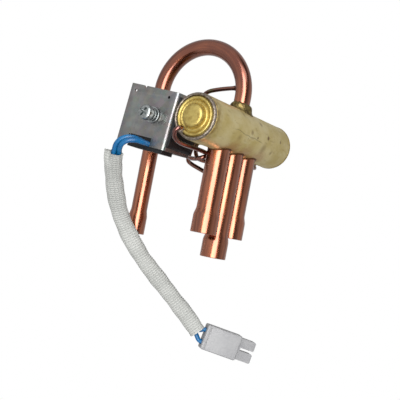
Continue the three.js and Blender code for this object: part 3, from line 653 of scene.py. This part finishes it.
def prism(outline, low, high, axis="Y"):
    """Extrude a closed outline of (u, v) points along an axis."""
    count = len(outline)
    verts = []
    for w in (low, high):
        verts += [{"X": (w, u, v), "Y": (u, w, v), "Z": (u, v, w)}[axis] for u, v in outline]
    faces = [(i, (i + 1) % count, count + (i + 1) % count, count + i) for i in range(count)]
    return verts, [*faces, tuple(reversed(range(count))), tuple(range(count, 2 * count))]


def arc(cu, cv, radius, start, end, steps=8):
    angles = [math.radians(start + (end - start) * i / steps) for i in range(steps + 1)]
    return [(cu + radius * math.cos(a), cv + radius * math.sin(a)) for a in angles]


def rounded(cu, cv, width, height, radius, steps=6):
    u0, u1 = cu - width / 2 + radius, cu + width / 2 - radius
    v0, v1 = cv - height / 2 + radius, cv + height / 2 - radius
    corners = ((u0, v0, 180), (u1, v0, 270), (u1, v1, 0), (u0, v1, 90))
    return [point for u, v, start in corners for point in arc(u, v, radius, start, start + 90, steps)]


def ripple(a, seed, count=5):
    """A repeatable bumpy value round a circle, about -1 to 1."""
    rolls = random.Random(seed)
    total = 0
    for k in range(count):
        total += rolls.uniform(0.3, 1) * math.sin((2 * k + 3) * a + rolls.uniform(0, 6.28))
    return total / count


# ---------------------------------------------------------------- main body

def make_body():
    profile = [(0, BODY_BORE), (0, BODY_RADIUS), (BODY_LENGTH, BODY_RADIUS), (BODY_LENGTH, BODY_BORE)]
    tube = make("body_shell", *lathe(soften(profile, 0.4, loop=True), 160, loop=True), VALVE, "pale_brass")
    ports = [PORT_MID + step * PORT_PITCH for step in (-1, 0, 1)]
    cut(tube, [drill(5, 20, LINE_RADIUS, 64, "Y", (x, 0, 0)) for x in ports])
    cut(tube, [drill(-20, -5, DISCHARGE_RADIUS, 64, "Y", (PORT_MID, 0, 0))])
    tidy(tube)
    stands_for(tube, "body_tube")

    outside = [
        (-4.75, 0), (-4.7, 3), (-4.5, 5.0), (-4.0, 5.9), (-3.1, 6.35), (-1.0, 6.7), (-0.55, 7.2),
        (-0.5, 8.0), (-0.9, 8.7), (-1.7, 9.15), (-2.1, 9.8), (-1.85, 10.45), (-1.0, 10.8),
        (-0.2, 11.3), (3, 11.35),
    ]
    inside = [
        (3, 10.3), (0.4, 10.0), (-0.6, 9.7), (0.7, 8.8), (0.7, 7), (0.1, 5.9), (-3.2, 5.4),
        (-3.6, 4), (-3.6, 0),
    ]
    cap = make("near_cap_turned", *lathe(soften(outside + inside, 0.8), 128), VALVE, "cap_brass", sharp=50)
    stands_for(cap, "near_cap")

    bead = [
        (-0.05, 11.25), (0.0, 12.98), (-0.8, 12.85), (-1.55, 12.3), (-1.75, 11.75), (-1.2, 11.2),
    ]
    verts, faces = lathe(soften(bead, 0.6, 4, True), 180, loop=True)
    lumpy = []
    for x, y, z in verts:
        a = math.atan2(z, y)
        swell = 0.22 * ripple(a, 3, 9) + 0.1 * ripple(a * 3, 5)
        push = 1 + swell * 0.02 * (1 if x < -0.4 else 0)
        lumpy.append((x + (swell * 0.9 if x < -0.4 else 0), y * push, z * push))
    ring = make("near_braze", lumpy, faces, VALVE, "braze_ring", sharp=60)
    stands_for(ring, "near_braze_ring")

    start = BODY_LENGTH + 0.02
    high, low, bore = 7.2, 5.9, 10.3
    turns = [math.pi / 2 * k / 24 for k in range(24)]
    dome = [(start + high * math.sin(t), BODY_RADIUS * math.cos(t)) for t in turns]
    hollow = [(start + low * math.sin(t), bore * math.cos(t)) for t in turns]
    spigot = [(86.3, bore), (86.3, 11.4), (start, 11.4)]
    profile = [(start + low, 0), *reversed(hollow), *spigot, *dome, (start + high, 0)]
    far = make("far_cap_dome", *lathe(profile, 160), VALVE, "pale_brass")
    stands_for(far, "far_cap")
    bead = arc(BODY_LENGTH + 0.1, 12.92, 0.22, 0, 360, 10)[:-1]
    seam = make("far_cap_seam", *lathe(bead, 160, loop=True), VALVE, "braze_collar")


FILLET = [(1 - k / 8, (k / 8) ** 2.4) for k in range(9)]
COLLAR = [
    (1, 0), (0.8, 0.12), (0.66, 0.3), (0.6, 0.5), (0.56, 0.68), (0.48, 0.83), (0.34, 0.94),
    (0.16, 0.99), (0, 1),
]


def saddle(name, x, side, pipe, foot, rise, seed, material, shape=FILLET):
    """Braze round a pipe where it stands on the round body; side is +1 or -1 along Y.

    The shape is pairs from the foot up: the share of the way out, and the share of the rise.
    """
    sides = 96
    levels = [(spread, climb, 0.02) for spread, climb in shape]
    levels += [(0, 0, -0.4), (1, 0, -0.4)]
    verts, rings = [], []
    for spread, climb, lift in levels:
        rings.append(new_ring(verts, sides))
        for i in range(sides):
            a = 2 * math.pi * i / sides
            wide = foot * (1 + 0.07 * ripple(a, seed))
            high = rise * (1 + 0.15 * ripple(a, seed + 1))
            radius = pipe - 0.05 + (wide - pipe) * spread
            u, v = radius * math.cos(a), radius * math.sin(a)
            surface = math.sqrt(BODY_RADIUS ** 2 - v * v)
            verts.append((x + u, side * (surface + high * climb + lift), v))
    return make(name, verts, bridged(rings, sides, True), VALVE, material, sharp=70)


def make_pipes():
    names = ("evaporator_pipe", "suction_pipe", "condenser_pipe")
    lengths = ((46.3, 59.5), (58.8, 72.0), (46.3, 59.5))
    for step, name, (flare, end) in zip((-1, 0, 1), names, lengths):
        x = PORT_MID + step * PORT_PITCH
        r, socket, wall = LINE_RADIUS, LINE_SOCKET, LINE_WALL
        swage = [(flare - 1.3 + 5.3 * t, r + (socket - r) * (0.5 - 0.5 * math.cos(math.pi * t)))
                 for t in (k / 12 for k in range(13))]
        outer = [(9, r), *swage, (end - 0.25, socket), (end, socket - 0.3)]
        inner = [(end, socket - wall + 0.2), (end - 0.4, socket - wall), (flare + 3.8, socket - wall),
                 (flare - 0.8, r - wall), (9, r - wall)]
        verts, faces = lathe(soften(outer + inner, 0.7, 4, True), 96, "Y", (x, 0, 0), True)
        pipe = make(f"{name}_tube", verts, faces, VALVE, "copper")
        unrolled(pipe, verts)
        stands_for(pipe, name)
        fillet = saddle(f"{name}_fillet", x, 1, r, r + 0.6, 0.9, 11 + step, "braze_fillet")

    points, radii, bores = [], [], []

    def add(y, z, radius, bore):
        points.append(Vector((PORT_MID, y, z)))
        radii.append(radius)
        bores.append(bore)

    r, b = DISCHARGE_RADIUS, DISCHARGE_RADIUS - DISCHARGE_WALL
    for y in (-11.5, -14, -17, -19.5):
        add(y, 0, r, b)
    for k in range(65):
        a = math.pi * k / 64
        add(BEND_START - BEND_RADIUS * math.sin(a), BEND_RADIUS * (1 - math.cos(a)), r, b)
    for y in (-16, -8, 4, 16, 28, 40, 50):
        add(y, LEG_Z, r, b)
    for k in range(13):
        grow = DISCHARGE_SWELL * (0.5 - 0.5 * math.cos(math.pi * k / 12))
        add(51.6 + 5.6 * k / 12, LEG_Z, r + grow, b + max(grow - 0.02, 0))
    for y in (60, 66.6):
        add(y, LEG_Z, r + DISCHARGE_SWELL, b + 0.77)
    add(66.9, LEG_Z, r + 0.7, b + 0.8)
    add(67, LEG_Z, r + 0.5, b + 0.85)
    verts, faces, coordinates = sweep(points, radii, 64, bores)
    pipe = make("discharge_tube", verts, faces, VALVE, "copper")
    unrolled(pipe, coordinates)
    stands_for(pipe, "discharge_pipe")
    collar = saddle("discharge_braze", PORT_MID, -1, r, 7.9, 4.6, 21, "braze_collar", COLLAR)
    stands_for(collar, "discharge_braze_collar")


# ---------------------------------------------------------------- pilot valve and capillaries

PILOT_TOP = -4.1
PILOT_LOW = 4.5
CAPILLARY_RADIUS = 1.25
DROP_AT = (-2.1, 7.9, 6.6)
ROUTES = {
    "capillary_discharge": [
        (50, PILOT_TOP, PILOT_Z), (50, -8, PILOT_Z), (50, -12, 31), (49, -16.4, 30.2),
        (46.5, -20.4, 27.8), (44.6, -22.6, 23.6), (44.2, -23.9, 18.5), (44.2, -25, 12.5),
        (44.2, -25.9, 5.75),
    ],
    "capillary_near_cap": [
        (46, PILOT_LOW, PILOT_Z), (46, 9, PILOT_Z), (45.6, 12.6, 30.8), (43.6, 15.6, 29.2),
        (40, 17.6, 25.5), (35.6, 18.5, 19.5), (32.6, 18.3, 14.4), (32.8, 17.2, 11.6), (35, 15.9, 10.6),
        (34.6, 14.9, 10.4), (31, 14.4, 10.6), (23, 14.2, 10.8), (14, 14.4, 10.2), (6, 14.3, 9.8),
        (0.6, 13.4, 9.8), (-3, 11.2, 9.4), (-4.6, 8.9, 8), (-4.2, 7.6, 6.7), (-2.45, 7.3, 6.3),
    ],
    "capillary_suction": [
        (50, PILOT_LOW, PILOT_Z), (50, 9, PILOT_Z), (50, 13, 31.8), (49.2, 16.6, 32), (47.4, 19, 30.4),
        (45.4, 20.8, 26.6), (44.4, 22.8, 20.6), (44, 24.6, 14.8), (44.2, 25.6, 10.5), (44.2, 26, 6.75),
    ],
    "capillary_far_cap": [
        (54, PILOT_LOW, PILOT_Z), (54, 9, PILOT_Z), (54, 13, 30.6), (53.4, 16, 28.2), (52.2, 17.2, 24),
        (51, 17.6, 18.8), (51.6, 17.6, 13.8), (55.4, 17.2, 10.6), (61.5, 16.6, 9.4), (67.5, 15.9, 7.2),
        (73, 15, 4.4), (78.5, 14.7, 3.6), (83.5, 14.3, 5.6), (88, 12.4, 8.8), (91, 10.6, 9.6),
        (91.4, 9.3, 8.7),
    ],
}


def make_capillaries():
    for name, route in ROUTES.items():
        points = centripetal(route, 0.7)
        length = length_of(points)
        ends = [min(run, length - run) for run in runs_along(points)]
        radii = [CAPILLARY_RADIUS + 0.3 * math.exp(-(end / 1.3) ** 2) for end in ends]
        verts, faces, coordinates = sweep(points, radii, 20)
        tube = make(f"{name}_tube", verts, faces, VALVE, "capillary", sharp=60)
        unrolled(tube, coordinates)
        stands_for(tube, name)
    turns = [math.pi * k / 16 for k in range(17)]
    drop = [(1.5 * math.cos(t), 2.1 * math.sin(t)) for t in turns]
    verts, faces = lathe(drop, 40, "X", DROP_AT)
    _, cy, cz = DROP_AT
    lumpy = []
    for x, y, z in verts:
        swell = 1 + 0.22 * ripple(math.atan2(z - cz, y - cy), 31) + 0.1 * math.sin(3 * x)
        lumpy.append((x, cy + (y - cy) * swell, cz + (z - cz) * swell))
    blob = make("near_cap_braze_drop", lumpy, faces, VALVE, "braze_ring", sharp=80)


def make_pilot():
    profile = [
        (34.5, 5.05), (34.5, 6.2), (35, 6.6), (39, 6.6), (39.4, 6.2), (40.6, 6.2), (41, 6.6),
        (59, 6.6), (60, 5.6), (60, 0), (57.5, 0), (57.5, 4.6), (41.2, 4.6), (41.2, 5.05),
    ]
    body = make("pilot_body_turned", *lathe(soften(profile, 0.3, 3), 96), PILOT, "seat_brass")
    stands_for(body, "pilot_body")
    wall = [(7.6, 4.25), (7.6, 4.75), (40.9, 4.75), (40.9, 4.25)]
    tube = make("pilot_tube_drawn", *lathe(wall, 64, loop=True), PILOT, "steel")
    stands_for(tube, "pilot_tube")
    rise = ((6.1, 2.2), (6.7, 2.0), (7.4, 1.5), (7.9, 1.26), (6.1, 1.2))
    for x, side in ((46, 1), (50, 1), (54, 1), (50, -1)):
        bead = [(side * y, r) for y, r in rise]
        shape = lathe(soften(bead, 0.3, 3, True), 32, "Y", (x, 0, 0), True)
        ring = make(f"pilot_braze_{x}_{side + 1}", *shape, PILOT, "braze_collar")


SPRING_START = 18.4
SPRING_END = 30.6
SPRING_WIRE = 0.25
SPRING_RADIUS = 2.05
SPRING_TURNS = 8


def make_return_spring():
    """The plunger's return spring, with a closed turn at each end."""
    closed = 0.55
    pitch = (SPRING_END - SPRING_START - 2 * closed) / (SPRING_TURNS - 2)
    points = []
    for k in range(SPRING_TURNS * 24 + 1):
        turn = k / 24
        x = SPRING_START + closed * min(turn, 1) + pitch * min(max(turn - 1, 0), SPRING_TURNS - 2)
        x += closed * max(turn - SPRING_TURNS + 1, 0)
        a = 2 * math.pi * turn
        points.append(Vector((x, SPRING_RADIUS * math.cos(a), SPRING_RADIUS * math.sin(a))))
    verts, faces, _ = sweep(points, [SPRING_WIRE] * len(points), 12)
    spring = make("return_spring_coil", verts, faces, PILOT, "steel", sharp=60)
    return stands_for(spring, "return_spring")


def squash_spring(spring):
    """Give the spring a mesh of its own."""
    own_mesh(spring)


# ---------------------------------------------------------------- coil

FRONT = 5.0
BACK = 32.0
SIDE_Z = -13.1
OPEN_Z = 19.6
LOW_Y = -15.0
HIGH_Y = 17.4
SHEET = 1.2
SCREW_HOLE = 2.3
PILOT_HOLE = 5.05


def make_coil():
    bend = 2.4
    near, far, side = FRONT + bend, BACK - bend, SIDE_Z + bend
    outline = [
        (FRONT, OPEN_Z), *arc(near, side, bend, 180, 270), *arc(far, side, bend, 270, 360),
        (BACK, OPEN_Z), (BACK - SHEET, OPEN_Z), *arc(far, side, bend - SHEET, 0, -90),
        *arc(near, side, bend - SHEET, 270, 180), (FRONT + SHEET, OPEN_Z),
    ]
    yoke = make("coil_yoke", *prism(outline, LOW_Y, HIGH_Y), COIL, "zinc")
    x0, x1 = FRONT - 1, FRONT + 3
    vee = [(LOW_Y - 1.2, 8.1), (LOW_Y + 1.6, 10), (LOW_Y - 1.2, 11.9)]
    cuts = [
        drill(x0, x1, SCREW_HOLE, 40),
        drill(28, 40, PILOT_HOLE, 64),
        box(x0, x1, HIGH_Y - 4.7, HIGH_Y + 1, -3.4, 12.5),
        prism(vee, x0, x1, "X"),
        drill(-15, -10, 1.1, 32, "Z", (FRONT + 13.4, 13.4, 0)),
    ]
    for z in (-7.2, 15.9):
        cuts.append(drill(x0, x1, 0.8, 24, "X", (0, -11.3, z)))
    cut(yoke, cuts)
    bevelled(yoke, 0.14, 2, 40)
    stands_for(yoke, "coil_frame")

    section = rounded(1.2, -1.5, 30.6, 26, 4)
    block = make("coil_body", *prism(section, 6.7, 30.2, "X"), COIL, "coil_black")
    cut(block, [box(6.9, 17.5, 12, 19.6, -11, 13)], "UNION")
    cut(block, [drill(0, 40, 5.1, 64), drill(8.6, 28.4, 11, 96)])
    bevelled(block, 0.5, 3, 40)
    stands_for(block, "coil_moulding")

    back = FRONT - 4.8
    head = [
        (back - 4.3, 0), (back - 4.3, 2.7), (back - 3.9, 3.5), (back - 3.2, 4.1),
        (back - 0.4, 4.25), (back, 4.1), (back, 0),
    ]
    screw = make("coil_screw_turned", *lathe(soften(head, 0.3, 3), 64), COIL, "bright_zinc")
    corners = [math.pi / 3 * k + 0.3 for k in range(6)]
    hexagon = [(4.75 * math.cos(a), 4.75 * math.sin(a)) for a in corners]
    cut(screw, [prism(hexagon, back - 6, back + 1, "X")], "INTERSECT")
    cut(screw, [drill(back - 0.3, 13, 1.95, 40)], "UNION")
    for turn in (0.5, 0.5 + math.pi / 2):
        c, s = math.cos(turn), math.sin(turn)
        verts, faces = box(back - 6, back - 2.5, -2.7, 2.7, -0.6, 0.6)
        cut(screw, [([(x, y * c - z * s, y * s + z * c) for x, y, z in verts], faces)])
    bevelled(screw, 0.12, 2, 35)
    stands_for(screw, "coil_screw")

    section = [(-0.6, -0.75), (0.6, -0.75), (0.6, 0.75), (-0.6, 0.75)]
    verts, rings = [], []
    for k in range(73):
        t = k / 72
        a = 0.15 + (2 * math.pi - 0.3) * t
        rings.append(new_ring(verts, 4))
        for du, dr in section:
            r = 3.05 + dr
            verts.append((FRONT - 3.5 + 0.9 * t + du, r * math.cos(a), r * math.sin(a)))
    faces = [*bridged(rings, 4), tuple(rings[0]), tuple(reversed(rings[-1]))]
    split = bevelled(make("spring_washer_split", verts, faces, COIL, "bright_zinc"), 0.12)
    stands_for(split, "spring_washer")
    front = FRONT - 1.2
    flat = [(front, 2.25), (front, 4.5), (front + 0.9, 4.5), (front + 0.9, 2.25)]
    turned_flat = lathe(soften(flat, 0.2, 3, True), 64, loop=True)
    washer = make("flat_washer_turned", *turned_flat, COIL, "bright_zinc")
    stands_for(washer, "flat_washer")


# ---------------------------------------------------------------- lead

LEAD = [
    (-36.9, -7.2, 49.4), (-39, -7.1, 52.1), (-41.6, -6.9, 54.3), (-44.6, -6.7, 55.8), (-48.6, -7.4, 55.9),
    (-51.6, -9.3, 54.4), (-53.4, -12, 51.8), (-53.9, -15, 48.4), (-53.4, -18.2, 44.4), (-52.2, -22.1, 40),
    (-50.9, -26.2, 35.6), (-49.3, -30.4, 31.4), (-47.5, -35, 27.4), (-45.5, -39.6, 24), (-43.1, -44.6, 20.8),
    (-40.2, -49.6, 18.2), (-36.8, -54.6, 16.4), (-32.6, -60.2, 15.2), (-27.9, -65.7, 14), (-22.9, -71, 12.2),
    (-16.8, -76.6, 10), (-10.2, -82.3, 8), (-3.2, -88.3, 6.3), (4.2, -94.8, 5.1), (11.7, -101.4, 4.5),
    (20.2, -109.8, 4.45),
]
SLEEVE_FIRST = 7
WIRE_RADIUS = 1.4
WIRE_SPREAD = 1.44
WIRE_STACK = math.radians(80)
MOUTH_SHIFT = 1.4
HOUSING_LENGTH = 22.8
HOUSING_PITCH = 3.8
TONGUE = 9.6


def on_plug(along, sideways):
    return tuple(PLUG @ (Vector((along, sideways, 0)) * MM) / MM)


def wire_route(hand):
    """One wire: over or under the other at the coil, beside it in the sleeve, out to its contact."""
    points = []
    for i, point in enumerate(LEAD):
        ahead = (Vector(LEAD[min(i + 1, len(LEAD) - 1)]) - Vector(LEAD[max(i - 1, 0)])).normalized()
        side = Vector((-ahead.y, ahead.x, 0)).normalized()
        turn = WIRE_STACK * math.cos(math.pi / 2 * min(i / SLEEVE_FIRST, 1)) ** 1.2
        apart = side * math.cos(turn) + ahead.cross(side) * math.sin(turn)
        aside = Vector((MOUTH_SHIFT * math.exp(-((i - SLEEVE_FIRST) / 1.3) ** 2), 0, 0))
        points.append(tuple(Vector(point) + apart * (hand * WIRE_SPREAD) + aside))
    back = -HOUSING_LENGTH / 2
    points.append(on_plug(back - 1.5, hand * (HOUSING_PITCH - 0.25)))
    points.append(on_plug(back + 1.5, hand * HOUSING_PITCH))
    points.append(on_plug(back + 4, hand * HOUSING_PITCH))
    return points


def make_wires():
    for hand, node in ((1, "lead_wire_a"), (-1, "lead_wire_b")):
        points = centripetal(wire_route(hand), 1.2)
        curve = bpy.data.curves.new(f"{node}_curve", "CURVE")
        curve.dimensions = "3D"
        spline = curve.splines.new("POLY")
        spline.points.add(len(points) - 1)
        for knot, point in zip(spline.points, points):
            knot.co = (*(point * MM), 1)
        spline.use_smooth = True
        curve.bevel_depth = WIRE_RADIUS * MM
        curve.bevel_resolution = 8
        curve.use_fill_caps = True
        curve.materials.append(M["blue_wire"])
        wire = placed(f"{node}_curve", curve)
        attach(wire, "valve")
        stands_for(wire, node)


SLEEVE_WIDE = 5.0
SLEEVE_THICK = 3.5
SLEEVE_AROUND = 160
SLEEVE_COLUMNS = 16
SLEEVE_ROW = 1.5
SLEEVE_RELIEF = 0.22
SLEEVE_FLAT = Vector((0.18, 0.03, -0.98))


def stitch_height(u, run):
    """The braid's V-shaped stitches: 0 between them and 1 on top, at share u round and run along."""
    within = (u * SLEEVE_COLUMNS) % 1
    across = abs(within - 0.5) * 2
    row = 2 * math.pi * (run / SLEEVE_ROW + 0.3 * across)
    return (0.5 + 0.5 * math.sin(row)) * (0.2 + 0.8 * math.sin(math.pi * within) ** 0.6)


def make_sleeve():
    """A flattened braided sleeve with its stitches raised in the mesh, pressed flat at its mouth."""
    points = centripetal(LEAD[SLEEVE_FIRST:], 0.26)
    total = length_of(points)
    runs = runs_along(points)
    verts, rings, depth = [], [], []

    def ring(i, half_wide, half_thick, height):
        pinch = 0.84 * math.exp(-(runs[i] / 5) ** 2)
        tangent = (points[min(i + 1, len(points) - 1)] - points[max(i - 1, 0)]).normalized()
        wide = tangent.cross(SLEEVE_FLAT).normalized()
        thick = wide.cross(tangent)
        rings.append(new_ring(verts, SLEEVE_AROUND))
        for k in range(SLEEVE_AROUND):
            a = 2 * math.pi * k / SLEEVE_AROUND
            c, s = math.cos(a), math.sin(a)
            raised = height(k / SLEEVE_AROUND)
            lift = SLEEVE_RELIEF * (raised - 0.5)
            x = (half_wide + lift) * math.copysign(abs(c) ** 0.85, c)
            y = (half_thick + lift) * math.copysign(abs(s) ** 0.85, s)
            beside = min(max((abs(x - MOUTH_SHIFT) - 2.2) / 1.4, 0), 1)
            y *= 1 - pinch * beside * beside * (3 - 2 * beside)
            verts.append(points[i] + wide * x + thick * y)
            depth.append(raised)
    for i, run in enumerate(runs):
        crease = 1 + 0.035 * math.sin(run * 0.21 + 1) + 0.02 * math.sin(run * 0.55)
        frayed = 0.25 * math.exp(-(min(run, total - run) / 1.6) ** 2)
        pressed = 1.3 * math.exp(-(run / 6) ** 2)
        wide, thick = SLEEVE_WIDE * crease + frayed, SLEEVE_THICK - pressed + frayed
        ring(i, wide, thick, lambda u: stitch_height(u, run))
    for i in range(len(points) - 1, -1, -6):
        pressed = 1.2 * math.exp(-(runs[i] / 6) ** 2)
        ring(i, 4.35, 2.9 - pressed, lambda u: 0.2)
    faces = bridged(rings, SLEEVE_AROUND, True)
    sleeve = make("sleeve_braid", verts, faces, TABLE, "braid_fibre", sharp=80)
    attribute = sleeve.data.attributes.new("stitch", "FLOAT", "POINT")
    attribute.data.foreach_set("value", depth)
    stands_for(sleeve, "braided_sleeve")


def make_plug():
    """The two-way housing: a rounded block with a groove, a shoulder and two open tongues."""
    back, front = -HOUSING_LENGTH / 2, HOUSING_LENGTH / 2
    tip = front + TONGUE
    block = prism(rounded(0, 0, HOUSING_LENGTH, 15.6, 1.1), -4.5, 4.5, "Z")
    housing = make("plug_housing", *block, PLUG, "white_plastic")
    bevelled(housing, 0.8, 4, 60)
    shoulder = [(front - 0.8, 6.9), (front + 0.9, 6.4), (front + 0.9, -6.4), (front - 0.8, -6.9)]
    cut(housing, [prism(shoulder, -4.0, 4.0, "Z")], "UNION")
    for y in (-HOUSING_PITCH, HOUSING_PITCH):
        tongue = rounded((front - 2 + tip) / 2, y, tip - front + 2, 5.8, 0.9)
        cut(housing, [prism(tongue, -3.5, 3.5, "Z")], "UNION")
    groove = [(back + 2.3, 4.2), (back + 2.6, 4.2), (back + 2.75, 5.2), (back + 2.15, 5.2)]
    cut(housing, [prism(groove, -9, 9), prism([(u, -v) for u, v in groove], -9, 9)])
    bevelled(housing, 0.3, 3, 35)
    for y in (-HOUSING_PITCH, HOUSING_PITCH):
        cut(housing, [
            drill(back - 1, back + 5, 1.9, 40, "X", (0, y, 0)),
            box(back + 4.5, tip + 1, y - 2, y + 2, -2, 2),
        ])
    tidy(housing, 40)
    stands_for(housing, "connector_housing")
    return housing


# ---------------------------------------------------------------- CAD nodes that keep their shape

KEPT = {
    "seat_block": "seat_brass", "main_slide": "slide_plastic", "slide_carrier": "steel",
    "piston_near": "seat_brass", "piston_far": "seat_brass", "piston_seal_near": "seal_plastic",
    "piston_seal_far": "seal_plastic", "seal_retainer_near": "steel", "seal_retainer_far": "steel",
    "piston_screw_near": "steel", "piston_screw_far": "steel", "pilot_bracket": "braze_fillet",
    "fixed_core": "steel", "plunger": "steel", "pilot_carrier": "steel",
    "pilot_slide": "seal_plastic", "pilot_seat": "seat_brass", "coil_bobbin": "bobbin_plastic",
    "coil_winding": "winding_copper", "terminal_a": "tin", "terminal_b": "tin",
}


def finish_kept_nodes():
    for node, material in KEPT.items():
        for slot in bpy.data.objects[node].material_slots:
            slot.material = M[material]


# ---------------------------------------------------------------- table and light

ROOM_LEFT = 0.6
ROOM_DARK = 0.08
ROOM_RIGHT = 0.42
TABLE_GLOW = 0.45
TABLE_HALF = 3000
TABLE_TOP = -0.3


def greater(tree, a, b):
    """A node that gives the greater of an output and another one, or a number."""
    made = tree.nodes.new("ShaderNodeMath")
    made.operation = "MAXIMUM"
    tree.links.new(a, made.inputs[0])
    if isinstance(b, bpy.types.NodeSocket):
        tree.links.new(b, made.inputs[1])
    else:
        made.inputs[1].default_value = b
    return made.outputs[0]


def make_stage():
    """A white table that glows evenly, so that it shows no shadow."""
    h = TABLE_HALF
    corners = [(-h, -h, TABLE_TOP), (h, -h, TABLE_TOP), (h, h, TABLE_TOP), (-h, h, TABLE_TOP)]
    mesh = mesh_of("table", corners, [(0, 1, 2, 3)])
    table = placed("table", mesh)
    paper = bpy.data.materials.new("white_table")
    paper.use_nodes = True
    shader = paper.node_tree.nodes["Principled BSDF"]
    shader.inputs["Base Color"].default_value = (0, 0, 0, 1)
    shader.inputs["Roughness"].default_value = 1
    shader.inputs["Specular IOR Level"].default_value = 0
    shader.inputs["Emission Color"].default_value = (1, 1, 1, 1)
    ray = paper.node_tree.nodes.new("ShaderNodeLightPath")
    glow = greater(paper.node_tree, ray.outputs["Is Camera Ray"], TABLE_GLOW)
    paper.node_tree.links.new(glow, shader.inputs["Emission Strength"])
    mesh.materials.append(paper)


def make_light():
    """A white backdrop, a room with a dark band right of its middle, and two softboxes."""
    world = bpy.data.worlds.new("studio")
    bpy.context.scene.world = world
    world.use_nodes = True
    tree = world.node_tree
    place = tree.nodes.new("ShaderNodeTexCoord")
    parts = tree.nodes.new("ShaderNodeSeparateXYZ")
    tree.links.new(place.outputs["Generated"], parts.inputs[0])

    def ramp(start, end, from_light, to_light):
        shade = tree.nodes.new("ShaderNodeMapRange")
        shade.interpolation_type = "SMOOTHSTEP"
        shade.inputs["From Min"].default_value = start
        shade.inputs["From Max"].default_value = end
        shade.inputs["To Min"].default_value = from_light
        shade.inputs["To Max"].default_value = to_light
        tree.links.new(parts.outputs["X"], shade.inputs["Value"])
        return shade.outputs["Result"]

    left, right = ramp(-0.2, 0.45, ROOM_LEFT, ROOM_DARK), ramp(0.55, 0.9, ROOM_DARK, ROOM_RIGHT)
    ray = tree.nodes.new("ShaderNodeLightPath")
    sky = tree.nodes["Background"]
    sky.inputs["Color"].default_value = (1, 1, 1, 1)
    light = greater(tree, greater(tree, left, right), ray.outputs["Is Camera Ray"])
    tree.links.new(light, sky.inputs["Strength"])
    add_softbox("key", (-0.1, -0.02, 0.78), (0.54, 1.3), 10.8)
    add_softbox("back", (0.1, 0.75, 0.72), (0.8, 0.35), 1.6)
    bpy.context.scene.view_settings.view_transform = "Standard"


add_camera()
make_stage()
make_light()
plug = make_plug()
make_wires()
make_sleeve()
make_body()
make_pipes()
make_capillaries()
make_pilot()
make_coil()
spring = make_return_spring()
settle()
squash_spring(spring)
finish_kept_nodes()
